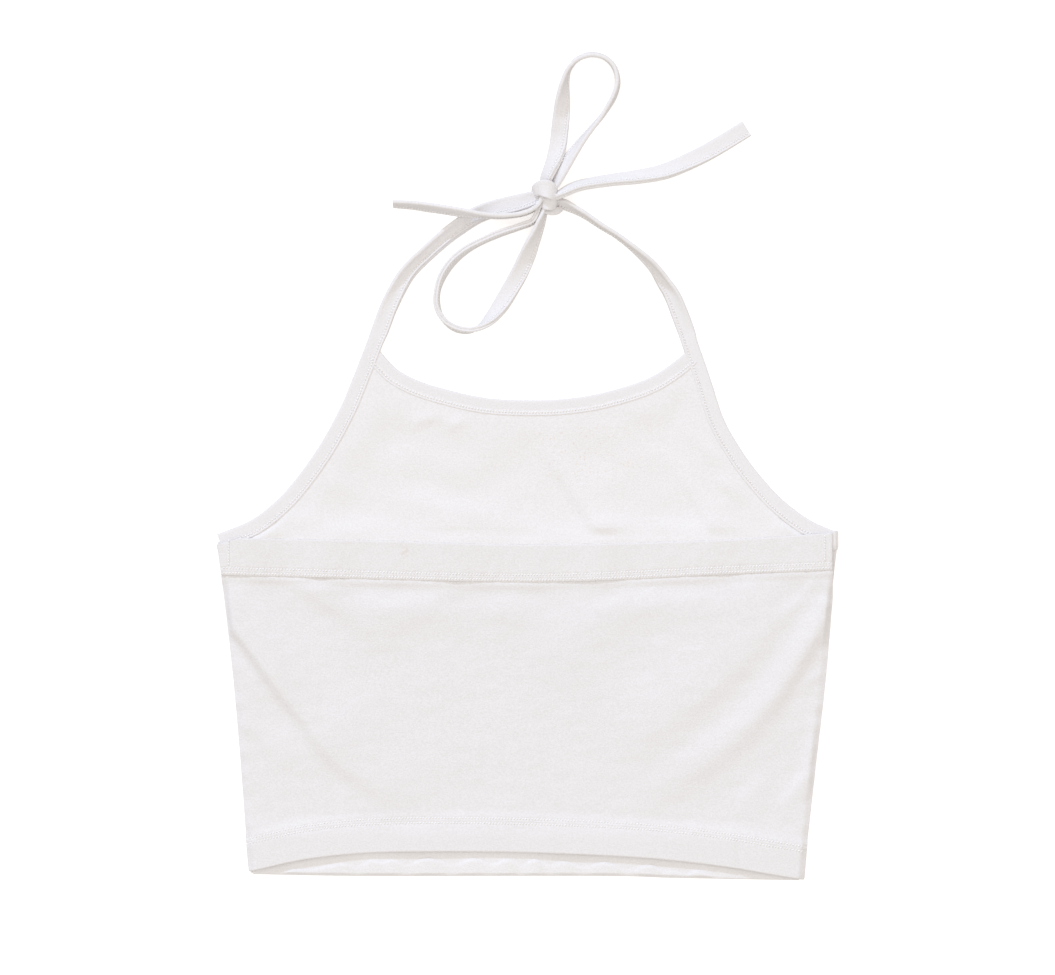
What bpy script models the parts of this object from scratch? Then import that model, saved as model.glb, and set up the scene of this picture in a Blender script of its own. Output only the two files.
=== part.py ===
"""White cotton-jersey halter crop top, laid flat on its front, back side up, with its neck ties in a bow.

The front panel is the bottom layer and the back panel lies on it. A folded binding holds the neck edge in its
slot, and one folded strip on each side binds the armhole and runs on as the neck strap to the knot of the bow.
The back is bound by a wide elastic band. Sizes and places are in millimetres: X runs across the garment,
Y from the hem up to the neck, Z up from the surface. The origin is the middle of the garment's outline.
"""
import math

import bmesh
import bpy
import numpy as np

MM = 0.001
SEAM_GAP = 0.3

CLOTH_THICK = 1.0  # one panel, with the give of its knit
BINDING_WIDTH = 9.8
BINDING_THICK = 3.6  # the folded strip below and above the panel's edge
SLOT_HALF = 0.8  # half the height of the slot that takes the panel's edge
SLOT_SHARE = 0.56  # the slot's depth as a share of the binding's width
PANEL_TUCK = 5.0  # how far the panel's edge reaches into the binding
STRAP_WIDTH = 10.6
STRAP_THICK = 2.4
TAPER_RUN = 12.0  # the binding thins to the strap over this run
BAND_THICK = 2.8
BAND_LAP = 5.5  # the band's lower edge laps over the panel by this much
HEM_HEIGHT = 19.5
PANEL_LIFT = 1.0 + SEAM_GAP  # a panel's edge stands this high in its binding
LIFT_FADE = 12.0
RIM_BULGE = 0.3  # a cut edge is rounded outwards by this share of its thickness
FACE_INSET = 0.8  # a binding's flat faces end this far inside its rounded edges
BAND_CHAMFER = 0.8

# Outlines, hem to neck: y of the section, x of the side seam.
SIDE_LEFT = [
    (-250.6, -171.0), (-230.0, -172.8), (-181.0, -176.5), (-132.0, -180.8), (-83.0, -186.3), (-52.0, -190.2),
]
SIDE_RIGHT = [
    (-254.3, 169.3), (-230.0, 171.6), (-181.0, 177.1), (-132.0, 182.7), (-83.0, 187.0), (-52.0, 190.2),
]
BACK_RIGHT_MOST = 186.4  # the band's right end: the front's seam shows beyond it

# Edges that run across the garment: x, y.
FRONT_HEM_EDGE = [(-172.0, -250.4), (-100.0, -251.6), (45.0, -251.6), (90.0, -252.8), (170.0, -254.3)]
BACK_HEM_EDGE = [
    (-172.0, -249.0), (-139.0, -241.6), (-107.0, -237.8), (-67.0, -236.4), (0.0, -237.0),
    (70.0, -240.2), (117.0, -245.2), (150.0, -250.6), (170.0, -254.0),
]
BAND_TOP_EDGE = [(-192.0, -41.4), (-181.0, -44.0), (-90.0, -45.8), (5.0, -48.2), (117.0, -45.4), (192.0, -40.6)]
BAND_LOW_EDGE = [(-192.0, -67.0), (-140.0, -68.4), (5.0, -71.4), (117.0, -67.0), (192.0, -63.8)]
NECK_EDGE = [
    (-99.0, 79.6), (-89.8, 69.2), (-80.0, 58.9), (-65.2, 51.4), (-49.8, 46.8), (-35.0, 43.2), (-20.3, 41.0),
    (0.0, 40.2), (19.7, 40.8), (39.4, 43.4), (57.2, 47.8), (73.2, 53.4), (86.1, 61.0), (96.6, 69.6), (107.0, 78.4),
]

# The armhole's bound edges, from the band's corner up to where the strap leaves the panel: x, y.
ARMHOLE_LEFT = [
    (-193.0, -42.9), (-170.4, -33.5), (-154.4, -21.2), (-143.3, -8.9), (-134.1, 3.4), (-126.1, 15.7),
    (-119.3, 28.0), (-113.2, 40.3), (-108.2, 52.6), (-103.3, 64.9), (-98.6, 77.2),
]
ARMHOLE_RIGHT = [
    (193.0, -42.0), (173.4, -33.5), (156.8, -21.2), (145.1, -8.9), (135.3, 3.4), (127.3, 15.7),
    (120.6, 28.0), (116.2, 40.3), (112.4, 52.6), (108.2, 64.9), (103.9, 77.2),
]

# The straps and ties: x and y of the middle of what shows, tilt and curl in degrees, height of the lowest edge.
# A tilt above zero lifts the edge on the left of the run; a curl lifts both edges.
STRAP_LEFT = [
    (-93.6, 75.6, 0, 0, 0), (-90.6, 84.0, 0, 10, 0), (-85.2, 98.1, 6, 30, 0), (-78.0, 112.2, 12, 140, 0),
    (-71.6, 121.0, 12, 205, 0), (-61.7, 130.6, 12, 205, 0), (-49.6, 141.2, 12, 200, 0), (-35.2, 151.6, 6, 160, 0),
    (-27.1, 155.8, 0, 90, 0), (-16.7, 159.0, 0, 30, 0), (-7.3, 161.2, 0, 0, 0), (2.4, 163.8, 0, 0, 0),
    (8.0, 165.4, 0, 0, 0),
]
STRAP_RIGHT = [
    (98.8, 75.6, 0, 0, 0), (96.8, 84.0, -6, 10, 0), (89.5, 103.0, -36, 40, 0), (83.3, 112.9, -52, 60, 0),
    (76.3, 122.7, -68, 50, 0), (66.1, 132.5, -77, 20, 0), (54.9, 141.2, -78, 10, 0), (44.5, 147.6, -76, 10, 0),
    (36.0, 152.2, -68, 10, 0), (29.6, 155.8, -54, 10, 0), (23.6, 159.6, -20, 10, 0), (16.5, 163.4, 0, 0, 0),
]
LOOP_UPPER = [
    (11.4, 172.4, 80, 0, 1.5), (12.3, 176.8, 80, 0, 0.4), (14.0, 181.8, 73, 10, 0), (16.4, 187.6, 60, 20, 0),
    (18.5, 196.0, 20, 20, 0), (19.7, 206.3, 8, 20, 0), (20.6, 216.2, 16, 30, 0), (21.5, 226.0, 44, 30, 0),
    (22.6, 235.0, 70, 20, 0), (24.8, 242.6, 78, 10, 0), (29.6, 248.9, 82, 0, 0), (38.1, 252.1, 84, 0, 0),
    (46.6, 250.6, 84, 0, 0), (52.4, 245.6, 84, 0, 0), (54.9, 238.3, 84, 0, 0), (54.4, 231.0, 84, 0, 0),
    (50.6, 222.4, 82, 0, 0), (43.6, 212.4, 79, 0, 0), (34.6, 201.4, 76, 0, 0), (26.9, 191.2, 73, 0, 0),
    (21.6, 182.4, 74, 0, 0), (18.9, 177.0, 78, 0, 0.4), (16.6, 172.4, 80, 0, 1.5),
]
LOOP_LOWER = [
    (7.0, 158.2, 80, 0, 0), (5.2, 152.4, 80, 0, 0), (1.2, 148.4, 79, 0, 0), (-7.0, 145.6, 78, 0, 0),
    (-18.1, 142.2, 77, 0, 0), (-29.2, 137.4, 77, 0, 0), (-38.4, 132.0, 77, 0, 0), (-46.8, 124.6, 78, 0, 0),
    (-52.8, 115.6, 80, 0, 0), (-55.7, 106.6, 83, 0, 0), (-55.7, 97.6, 83, 0, 0), (-52.0, 89.7, 80, 0, 0),
    (-45.0, 84.4, 76, 0, 0), (-36.8, 82.8, 74, 0, 0), (-29.2, 85.0, 68, 10, 0), (-22.7, 90.6, 48, 20, 0),
    (-16.6, 98.6, 20, 20, 0), (-11.1, 107.9, 10, 20, 0), (-5.5, 117.8, 10, 20, 0), (-0.9, 127.6, 20, 20, 0),
    (2.7, 136.2, 50, 20, 0), (5.8, 143.4, 68, 10, 0), (8.8, 150.2, 78, 0, 0), (10.8, 157.0, 80, 0, 0),
]
TIE_END_LEFT = [
    (8.0, 164.6, -80, 0, 2.9), (5.0, 160.6, -80, 0, 2.9), (1.0, 156.6, -80, 0, 2.9), (-6.2, 153.4, -78, 0, 3.0),
    (-16.6, 152.3, -76, 0, 3.2), (-28.4, 153.4, -74, 0, 4.6), (-40.0, 155.1, -70, 0, 5.2),
    (-50.5, 156.9, -68, 0, 3.8), (-61.0, 158.7, -70, 0, 1.0), (-71.0, 160.1, -75, 0, 0), (-82.8, 160.9, -80, 0, 0),
]
TIE_END_RIGHT = [
    (15.6, 164.8, -66, 0, 3.1), (20.0, 166.8, -68, 0, 3.1), (25.2, 169.2, -66, 10, 2.8),
    (31.0, 171.3, -62, 10, 1.6), (38.0, 173.0, -60, 20, 0.4), (51.7, 175.3, -50, 30, 0), (68.3, 177.4, -40, 40, 0),
    (83.6, 180.5, -28, 30, 0), (98.4, 186.7, -14, 20, 0), (113.8, 194.6, -6, 10, 0), (134.4, 207.2, 0, 0, 0),
]

# The two turns of the knot, as rounded lumps: middle x, y, z and half size in x, y, z.
KNOT_WRAP = ((12.0, 168.4, 5.7), (6.1, 6.0, 5.4))
KNOT_TUCK = ((12.9, 158.2, 4.3), (4.9, 3.8, 4.0))

# Folds: x and y of the crest, its height, and how far it falls away on the left and right of its run.
BACK_FOLDS = [
    [  # drag line from the left side seam to the hem
        (-179.6, -93.8, 2.4, 12, 6), (-163.6, -114.7, 3.2, 16, 7), (-147.6, -136.8, 3.2, 20, 7),
        (-131.6, -157.7, 2.8, 22, 8), (-116.0, -177.0, 2.2, 22, 9), (-97.0, -194.0, 1.4, 22, 11),
        (-77.5, -207.6, 0.3, 22, 14),
    ],
    [  # ridge from the right side seam to the hem
        (186.0, -78.0, 2.4, 7, 9), (180.8, -93.2, 4.0, 8, 10), (167.3, -116.5, 4.4, 9, 12),
        (150.1, -142.4, 4.2, 10, 13), (129.2, -163.9, 3.8, 11, 14), (105.8, -182.3, 3.0, 12, 15),
        (78.1, -199.6, 1.5, 13, 16), (56.6, -209.4, 0.2, 14, 16),
    ],
    [(-167.0, -160.0, 1.1, 8, 7), (-144.0, -184.0, 0.3, 9, 8)],  # small drag line by the left seam
    [(158.0, -196.0, 1.5, 7, 8), (140.0, -219.0, 0.3, 8, 8)],  # small drag line by the right seam
    [(-70.0, -83.0, 0.5, 9, 8), (-45.0, -84.0, 1.7, 9, 8), (-15.0, -82.0, 1.0, 9, 8)],  # fullness under the band
    [(10.0, -83.0, 0.8, 9, 8), (45.0, -86.0, 1.2, 9, 8), (90.0, -80.0, 1.7, 9, 8), (130.0, -77.0, 0.4, 9, 8)],
    [(-140.0, -80.0, 1.4, 9, 8), (-108.0, -92.0, 0.5, 10, 9)],
]
FRONT_FOLDS = [
    [(14.0, 8.0, 0.4, 10, 9), (28.0, -14.0, 1.4, 11, 9), (42.0, -34.0, 1.5, 12, 9)],
    [(-76.0, -22.0, 0.4, 10, 10), (-50.0, -26.0, 1.3, 12, 10), (-14.0, -30.0, 0.4, 12, 10)],
    [(98.0, 10.0, 0.4, 10, 10), (110.0, -12.0, 1.3, 12, 10), (122.0, -32.0, 0.8, 12, 10)],
]
FOLD_CLEAR_TOP = -32.0  # the front's folds die out between here and the band
FOLD_CLEAR_LOW = -46.0

HEM_RIPPLES = 14  # puckers of the front's turned-up hem
RIPPLE_HEIGHT = 0.9
SEAM_FADE = 9.0  # folds die out this close to a side seam

# Rows of the front panel's grid: y, and how far the row follows the hem's curve.
HEM_ROWS = [(-252.0, 1.0), (-242.0, 1.0), (-232.0, 0.8), (-214.0, 0.3), (-194.0, 0.0)]
PLAIN_ROWS = [-174.0, -154.0, -134.0, -114.0, -94.0, -74.0, -57.0, -49.0, -44.0, -39.5, -34.5]
SHOULDER_ROWS = 8  # rows from the band to the neck, bending to the neck's curve
NECK_RUN = 20.0  # height of the rows inside the neck binding
FRONT_COLUMNS = 26
EDGE_COLUMNS = np.array([0.0, 5.3, 12.0])  # close columns and rows at a bound edge, this far in
# Rows of the back panel's grid, as shares of its height: its hem ends between the third and fourth.
BACK_ROWS = [0.0, 0.055, 0.102, 0.112, *np.linspace(0.16, 0.93, 17), 0.97, 1.0]
BACK_COLUMNS = 40
FRONT_HEM_SPAN = (-169.6, 167.6)
FRONT_HEM_COLUMNS = 71
BAND_LEFT = -189.4
BAND_COLUMNS = 44
NECK_COLUMNS = 26

STRIP_STEP = 6.2
BINDING_STEP = 9.0
ACROSS = 3  # points across each face of a strip


def smooth(rows, step):
    """Points about step apart along a smooth curve through the rows; the further columns go along."""
    rows = np.array(rows, float)
    ends = np.vstack([2 * rows[0] - rows[1], rows, 2 * rows[-1] - rows[-2]])
    t = np.linspace(0, 1, 24, endpoint=False)[:, None]
    spans = []
    for a, b, c, d in zip(ends, ends[1:], ends[2:], ends[3:]):
        spans.append(b + 0.5 * t * (c - a + t * (2 * a - 5 * b + 4 * c - d + t * (3 * (b - c) + d - a))))
    dense = np.vstack(spans + [rows[-1:]])
    return evenly(dense, round(length(dense) / step) + 1)


def runs(path):
    """Distance along the path to each of its points."""
    return np.r_[0, np.cumsum(np.hypot(*np.diff(path[:, :2], axis=0).T))]


def length(path):
    return runs(path)[-1]


def evenly(path, count):
    """The path's count points, evenly apart."""
    run = runs(path)
    at = np.linspace(0, run[-1], count)
    return np.stack([np.interp(at, run, column) for column in path.T], axis=1)


def headings(path):
    steps = np.gradient(path[:, :2], axis=0)
    return steps / np.hypot(*steps.T)[:, None]


def beside(path, distance):
    """The path moved to its left by the distance."""
    ahead = headings(path)
    return path[:, :2] + distance * np.stack([-ahead[:, 1], ahead[:, 0]], axis=1)


def between(path, clearance):
    """The stretch of the path on which the clearance is above zero, cut where it is zero."""
    room = clearance(path)
    inside = np.flatnonzero(room > 0)
    first, last = inside[0], inside[-1]
    kept = path[first:last + 1]
    if first > 0:
        share = room[first] / (room[first] - room[first - 1])
        kept = np.vstack([path[first] + share * (path[first - 1] - path[first]), kept])
    if last < len(path) - 1:
        share = room[last] / (room[last] - room[last + 1])
        kept = np.vstack([kept, path[last] + share * (path[last + 1] - path[last])])
    return kept


def ease(t):
    """0 to 1, with level ends."""
    t = np.clip(t, 0, 1)
    return t * t * (3 - 2 * t)


def distance_to(path, x, y):
    """Distance from each point to the nearest point of the path."""
    away = np.hypot(np.asarray(x)[..., None] - path[:, 0], np.asarray(y)[..., None] - path[:, 1])
    return away.min(-1)


def edge_height(rows, fine=2.0):
    """y of an edge that runs across the garment, as a function of x."""
    path = smooth(rows, fine)
    order = np.argsort(path[:, 0])
    return lambda x: np.interp(x, path[order, 0], path[order, 1])


ARM_EDGE = {"left": smooth(ARMHOLE_LEFT, 1.0), "right": smooth(ARMHOLE_RIGHT, 1.0)[::-1]}
NECK_PATH = smooth(NECK_EDGE, 1.0)
band_top = edge_height(BAND_TOP_EDGE)
band_low_edge = edge_height(BAND_LOW_EDGE)
front_hem_edge = edge_height(FRONT_HEM_EDGE)
back_hem_edge = edge_height(BACK_HEM_EDGE)


def arm_inner(side):
    """The armhole binding's inner edge: the left armhole runs up and the right one down, so it is on the right."""
    return beside(ARM_EDGE[side], -BINDING_WIDTH)


def outline(side):
    """x of the front panel's cut edge as a function of y: the side seam, then inside the armhole's binding."""
    seam = smooth(SIDE_LEFT if side == "left" else SIDE_RIGHT, 3.0)
    arm = beside(ARM_EDGE[side], PANEL_TUCK - BINDING_WIDTH)
    arm = arm[arm[:, 1] > seam[-1, 0] + 4.0]
    y = np.r_[seam[:, 0], np.sort(arm[:, 1])]
    x = np.r_[seam[:, 1], arm[np.argsort(arm[:, 1]), 0]]
    return lambda at: np.interp(at, y, x)


left_edge = outline("left")
right_edge = outline("right")


def neck_cut():
    """The front panel's neck edge, inside the neck binding, as a function of x."""
    path = beside(NECK_PATH, PANEL_TUCK - BINDING_WIDTH)
    return lambda x: np.interp(x, path[:, 0], path[:, 1])


neck_cut_y = neck_cut()


def crest(rows):
    path = smooth(rows, 3.0)
    return path, headings(path)


BACK_CRESTS = [crest(rows) for rows in BACK_FOLDS]
FRONT_CRESTS = [crest(rows) for rows in FRONT_FOLDS]


def fold_height(crests, x, y):
    """How high the folds lift the cloth: each falls away from its crest, by its own width on either hand."""
    total = np.zeros(np.shape(x))
    for path, ahead in crests:
        dx = np.asarray(x)[..., None] - path[:, 0]
        dy = np.asarray(y)[..., None] - path[:, 1]
        near = np.hypot(dx, dy).argmin(-1)
        pick = np.take_along_axis
        dx = pick(dx, near[..., None], -1)[..., 0]
        dy = pick(dy, near[..., None], -1)[..., 0]
        on_left = ahead[near, 0] * dy - ahead[near, 1] * dx > 0
        width = np.where(on_left, path[near, 3], path[near, 4])
        total = total + path[near, 2] * np.exp(-(dx * dx + dy * dy) / width**2)
    return total


def front_low(x, y):
    """Height of the front's underside: on the surface, but raised into its bindings and along soft folds."""
    away = np.minimum(distance_to(ARM_EDGE["left"], x, y), distance_to(ARM_EDGE["right"], x, y))
    away = np.minimum(away, distance_to(NECK_PATH, x, y))
    bound = 1 - ease((away - BINDING_WIDTH) / LIFT_FADE)
    free = ease((y - FOLD_CLEAR_LOW) / (FOLD_CLEAR_TOP - FOLD_CLEAR_LOW)) * (1 - bound)
    return PANEL_LIFT * bound + free * fold_height(FRONT_CRESTS, x, y)


def front_top(x, y):
    return front_low(x, y) + CLOTH_THICK


def band_bottom(x):
    """The band lies on the highest part of the front below it."""
    share = np.linspace(0, 1, 7)
    y = band_top(x)[..., None] * share + band_low_edge(x)[..., None] * (1 - share)
    return front_top(np.broadcast_to(x[..., None], y.shape), y).max(-1) + SEAM_GAP


def hem_ripple(x):
    return RIPPLE_HEIGHT * 0.5 * (1 + np.sin(2 * math.pi * HEM_RIPPLES * x / 340.0 + 1.3 * np.sin(x / 31.0)))


def back_low(x, y):
    """Height of the back's underside: on the front, over its turned-up hem, up to the band, with its folds."""
    rest = front_top(x, y) + SEAM_GAP
    hem_line = front_hem_edge(x) + HEM_HEIGHT
    over_hem = 1 - ease((y - hem_line - 1.5) / 14.0)
    rest = rest + over_hem * (CLOTH_THICK + RIPPLE_HEIGHT + SEAM_GAP)
    at_band = 1 - ease((band_low_edge(x) - y) / 26.0)
    rest = rest + at_band * (band_bottom(x) - CLOTH_THICK - SEAM_GAP)
    in_from_seam = np.minimum(x - left_edge(y), right_edge(y) - x)
    free = ease(in_from_seam / SEAM_FADE) * (1 - over_hem) * ease((band_low_edge(x) - y) / 10.0)
    return rest + free * fold_height(BACK_CRESTS, x, y)


def make_material(name, colour, roughness):
    material = bpy.data.materials.new(name)
    material.use_nodes = True
    shader = material.node_tree.nodes["Principled BSDF"]
    shader.inputs["Base Color"].default_value = (*colour, 1.0)
    shader.inputs["Roughness"].default_value = roughness
    shader.inputs["Metallic"].default_value = 0.0
    return material


def make_object(name, points, faces, material, smooth_angle=50):
    mesh = bpy.data.meshes.new(name)
    mesh.from_pydata([tuple(MM * c for c in point) for point in points], [], faces)
    shape = bmesh.new()
    shape.from_mesh(mesh)
    bmesh.ops.recalc_face_normals(shape, faces=shape.faces)
    shape.to_mesh(mesh)
    shape.free()
    mesh.shade_smooth()
    mesh.set_sharp_from_angle(angle=math.radians(smooth_angle))
    mesh.materials.append(material)
    made = bpy.data.objects.new(name, mesh)
    bpy.context.scene.collection.objects.link(made)
    return made


def make_wall(name, x, y, low, thick, material):
    """A closed wall of cloth over a grid of points, its rim rounded outwards."""
    rows, columns = x.shape
    thick = np.broadcast_to(thick, x.shape)
    bottom = np.stack([x, y, low], axis=-1).reshape(-1, 3)
    top = np.stack([x, y, low + thick], axis=-1).reshape(-1, 3)
    index = np.arange(rows * columns).reshape(rows, columns)
    border = np.r_[index[0], index[1:, -1], index[-1, -2::-1], index[-2:0:-1, 0]]
    rim = (bottom[border] + top[border]) / 2
    along = np.roll(rim, -1, axis=0) - np.roll(rim, 1, axis=0)
    outward = np.stack([along[:, 1], -along[:, 0]], axis=1)
    outward /= np.hypot(*outward.T)[:, None]
    rim[:, :2] += RIM_BULGE * thick.reshape(-1)[border][:, None] * outward
    cells = np.stack([index[:-1, :-1], index[:-1, 1:], index[1:, 1:], index[1:, :-1]], axis=-1).reshape(-1, 4)
    count = rows * columns
    faces = [tuple(cell[::-1]) for cell in cells] + [tuple(cell + count) for cell in cells]
    for k, low_point in enumerate(border):
        after = (k + 1) % len(border)
        faces.append((low_point, border[after], 2 * count + after, 2 * count + k))
        faces.append((2 * count + k, 2 * count + after, border[after] + count, low_point + count))
    faces = [tuple(int(corner) for corner in face) for face in faces]
    return make_object(name, np.vstack([bottom, top, rim]), faces, material)


def section(width, thick, curl):
    """A strip's outline, sideways and up from its middle: flat, or bent into an arc with its edges up."""
    turn = max(math.radians(curl), 1e-4)
    radius = width / turn
    flat = (width / 2 - 0.3 * thick) * np.linspace(-1, 1, ACROSS)
    half = thick / 2
    edge = 0.22 * thick
    side = np.r_[flat, width / 2, width / 2, flat[::-1], -width / 2, -width / 2]
    lift = np.r_[np.full(ACROSS, half), edge, -edge, np.full(ACROSS, -half), -edge, edge]
    angle = side / radius
    return np.stack([(radius - lift) * np.sin(angle), radius - (radius - lift) * np.cos(angle)], axis=1)


def strap_rings(rows, width=STRAP_WIDTH, taper_from=None):
    """Rings of a free strap: each lies with its lowest edge at its own height, centred where it shows."""
    path = smooth(rows, STRIP_STEP)
    ahead = headings(path)
    run = runs(path)
    rings = []
    for (x, y, tilt, curl, low), (hx, hy), along in zip(path, ahead, run):
        share = 1.0 if taper_from is None else min(along / TAPER_RUN, 1.0)
        thick = STRAP_THICK if taper_from is None else taper_from + share * (STRAP_THICK - taper_from)
        wide = width if taper_from is None else BINDING_WIDTH + share * (width - BINDING_WIDTH)
        outline_points = section(wide, thick, curl)
        lean = math.radians(tilt)
        right = outline_points[:, 0] * math.cos(lean) + outline_points[:, 1] * math.sin(lean)
        up = -outline_points[:, 0] * math.sin(lean) + outline_points[:, 1] * math.cos(lean)
        right -= (right.max() + right.min()) / 2
        up += low - up.min()
        rings.append(np.stack([x + right * hy, y - right * hx, up], axis=1))
    return rings, ahead


def paired_rings(left, right, low, thick):
    """Rings of a strip between two edges: flat, with its underside at the given heights."""
    half = thick / 2
    up = np.r_[np.full(ACROSS, half), SLOT_HALF, -SLOT_HALF, np.full(ACROSS, -half), -SLOT_HALF, SLOT_HALF]
    rings = []
    for a, b, bottom in zip(left[:, :2], right[:, :2], low):
        reach = np.hypot(*(b - a)) / 2
        flat = np.linspace(-1, 1, ACROSS) * (1 - FACE_INSET / reach)
        share = np.r_[flat, 1, 1, flat[::-1], -1, -1]
        plan = (a + b) / 2 + share[:, None] * (b - a) / 2
        rings.append(np.column_stack([plan, bottom + half + up]))
    return rings


def slot_points(ring, side):
    """The two inner corners of the slot in the ring's edge, on its right (1) or left (-1)."""
    mouth = ACROSS if side > 0 else 2 * ACROSS + 2
    first, second = ring[mouth], ring[mouth + 1]
    far = ring[2 * ACROSS + 2] if side > 0 else ring[ACROSS]
    shift = SLOT_SHARE * (far[:2] - first[:2])
    return [np.r_[first[:2] + shift, first[2]], np.r_[second[:2] + shift, second[2]]]


def make_strip(name, rings, material, slot_side=0, slotted=0, slot_first=True):
    """A closed strip through its rings. The first or last rings may have a slot along one edge."""
    size = len(rings[0])
    total = len(rings)
    has_slot = [k < slotted if slot_first else k >= total - slotted for k in range(total)]
    mouth = ACROSS if slot_side > 0 else 2 * ACROSS + 2
    points = [point for ring in rings for point in ring]
    deep = {}
    for k, ring in enumerate(rings):
        if has_slot[k]:
            deep[k] = len(points)
            points.extend(slot_points(ring, slot_side))
    faces = []
    for k in range(total - 1):
        here, there = k * size, (k + 1) * size
        for j in range(size):
            after = (j + 1) % size
            if j == mouth and has_slot[k] and has_slot[k + 1]:
                a, b = deep[k], deep[k + 1]
                faces.append((here + j, a, b, there + j))
                faces.append((a, a + 1, b + 1, b))
                faces.append((a + 1, here + after, there + after, b + 1))
            else:
                faces.append((here + j, here + after, there + after, there + j))
        if has_slot[k] != has_slot[k + 1]:
            wall = k if has_slot[k] else k + 1
            at = wall * size
            faces.append((at + mouth, deep[wall], deep[wall] + 1, at + (mouth + 1) % size))
    for k in (0, total - 1):
        around = [k * size + j for j in range(size)]
        if has_slot[k]:
            around[mouth + 1:mouth + 1] = [deep[k], deep[k] + 1]
        faces.append(tuple(around))
    return make_object(name, points, faces, material)


def cut_at_knot(ring, away):
    """Moves a strip's end ring along away until the whole end face is clear of both turns of the knot."""
    direction = np.r_[away, 0.0]
    share = np.linspace(0, 1, 5)[:, None, None, None]
    face = (share * ring[:, None] + (1 - share) * ring[None, :]).reshape(-1, 3)
    moved = 0.0
    for middle, half in (KNOT_WRAP, KNOT_TUCK):
        reach = np.array(half) + SEAM_GAP
        offset = (face + moved * direction - np.array(middle)) / reach
        step = direction / reach
        a = step @ step
        b = offset @ step
        c = (offset**2).sum(1) - 1
        slide = np.where(c < 0, (-b + np.sqrt(np.maximum(b * b - a * c, 0))) / a, 0)
        moved += slide.max()
    return ring + moved * direction


def front_grid():
    """Points of the front panel: level rows up to the band, then rows that bend to the neck's curve."""
    corner_left, corner_right = panel_corners()
    lowest, straight_top = HEM_ROWS[0][0], PLAIN_ROWS[-1]
    rows = [(y, y, bend, 0.0) for y, bend in HEM_ROWS] + [(y, y, 0.0, 0.0) for y in PLAIN_ROWS]
    for share in np.linspace(0, 1, SHOULDER_ROWS + 1)[1:]:
        left = straight_top + share * (corner_left - NECK_RUN - straight_top)
        right = straight_top + share * (corner_right - NECK_RUN - straight_top)
        rows.append((left, right, 0.0, ease(share) ** 1.2))
    rows += [(corner_left - drop, corner_right - drop, 0.0, 1.0) for drop in EDGE_COLUMNS[::-1]]
    x, y = [], []
    for left, right, hem, neck in rows:
        x0, x1 = left_edge(left), right_edge(right)
        inner = np.linspace(x0 + NECK_RUN, x1 - NECK_RUN, FRONT_COLUMNS)
        line_x = np.r_[x0 + EDGE_COLUMNS, inner, x1 - EDGE_COLUMNS[::-1]]
        chord = np.interp(line_x, [x0, x1], [left, right])
        top_chord = np.interp(line_x, [x0, x1], [corner_left, corner_right])
        spread = np.interp(line_x, [x0, x1], [left_edge(corner_left), right_edge(corner_right)])
        sag = top_chord - neck_cut_y(spread)
        x.append(line_x)
        y.append(chord - neck * sag + hem * (front_hem_edge(line_x) - lowest))
    return np.array(x), np.array(y)


def panel_corners():
    """Heights at which the panel's neck edge meets its armhole edges."""
    heights = np.arange(50.0, 76.0, 0.05)
    found = []
    for edge in (left_edge, right_edge):
        gap = neck_cut_y(edge(heights)) - heights
        found.append(float(heights[np.abs(gap).argmin()]))
    return found


def back_grid():
    """Points of the back panel, between its side seams; a row's ends and its heights settle in a few rounds."""
    x, y = [], []
    for share in BACK_ROWS:
        spot = np.linspace(-1, 1, BACK_COLUMNS)
        line_x = BACK_RIGHT_MOST * spot
        for _ in range(4):
            line_y = back_hem_edge(line_x) * (1 - share) + (band_low_edge(line_x) + PANEL_TUCK) * share
            x0 = left_edge(line_y[0]) + SEAM_GAP
            x1 = min(right_edge(line_y[-1]) - SEAM_GAP, BACK_RIGHT_MOST)
            line_x = np.interp(spot, [-1, 1], [x0, x1])
        x.append(line_x)
        y.append(line_y)
    return np.array(x), np.array(y)


def make_front_panel(cloth):
    x, y = front_grid()
    return make_wall("front_panel", x, y, front_low(x, y), CLOTH_THICK, cloth)


def make_front_hem(cloth):
    """The front's turned-up hem, inside the garment, puckered by its stitching."""
    x, y = [], []
    for rise in (0.8, HEM_HEIGHT / 2, HEM_HEIGHT):
        line_x = np.linspace(*FRONT_HEM_SPAN, FRONT_HEM_COLUMNS)
        x.append(line_x)
        y.append(front_hem_edge(line_x) + rise)
    x, y = np.array(x), np.array(y)
    low = front_top(x, y) + SEAM_GAP + hem_ripple(x)
    return make_wall("front_hem", x, y, low, CLOTH_THICK, cloth)


def make_back_panel(cloth):
    """The back from its band to its hem, which is turned in, so that the wall doubles there."""
    x, y = back_grid()
    in_hem = y < back_hem_edge(x) + HEM_HEIGHT
    return make_wall("back_panel", x, y, back_low(x, y), np.where(in_hem, 2.0, 1.0) * CLOTH_THICK, cloth)


def make_back_band(elastic):
    """The elastic casing: its lower edge laps over the panel's top edge."""
    x = np.linspace(BAND_LEFT, BACK_RIGHT_MOST, BAND_COLUMNS)
    top, low = band_top(x), band_low_edge(x)
    bottom = band_bottom(x)
    lip = CLOTH_THICK + 2 * SEAM_GAP
    rings = []
    for k in range(len(x)):
        height = top[k] - low[k]
        profile = [
            (BAND_LAP, 0), (height - BAND_CHAMFER, 0), (height, BAND_CHAMFER), (height, BAND_THICK - BAND_CHAMFER),
            (height - BAND_CHAMFER, BAND_THICK), (BAND_CHAMFER, BAND_THICK), (0, BAND_THICK - BAND_CHAMFER / 2),
            (0, lip), (BAND_LAP, lip),
        ]
        rings.append(np.array([(x[k], low[k] + rise, bottom[k] + up) for rise, up in profile]))
    return make_strip("back_band", rings, elastic)


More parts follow.
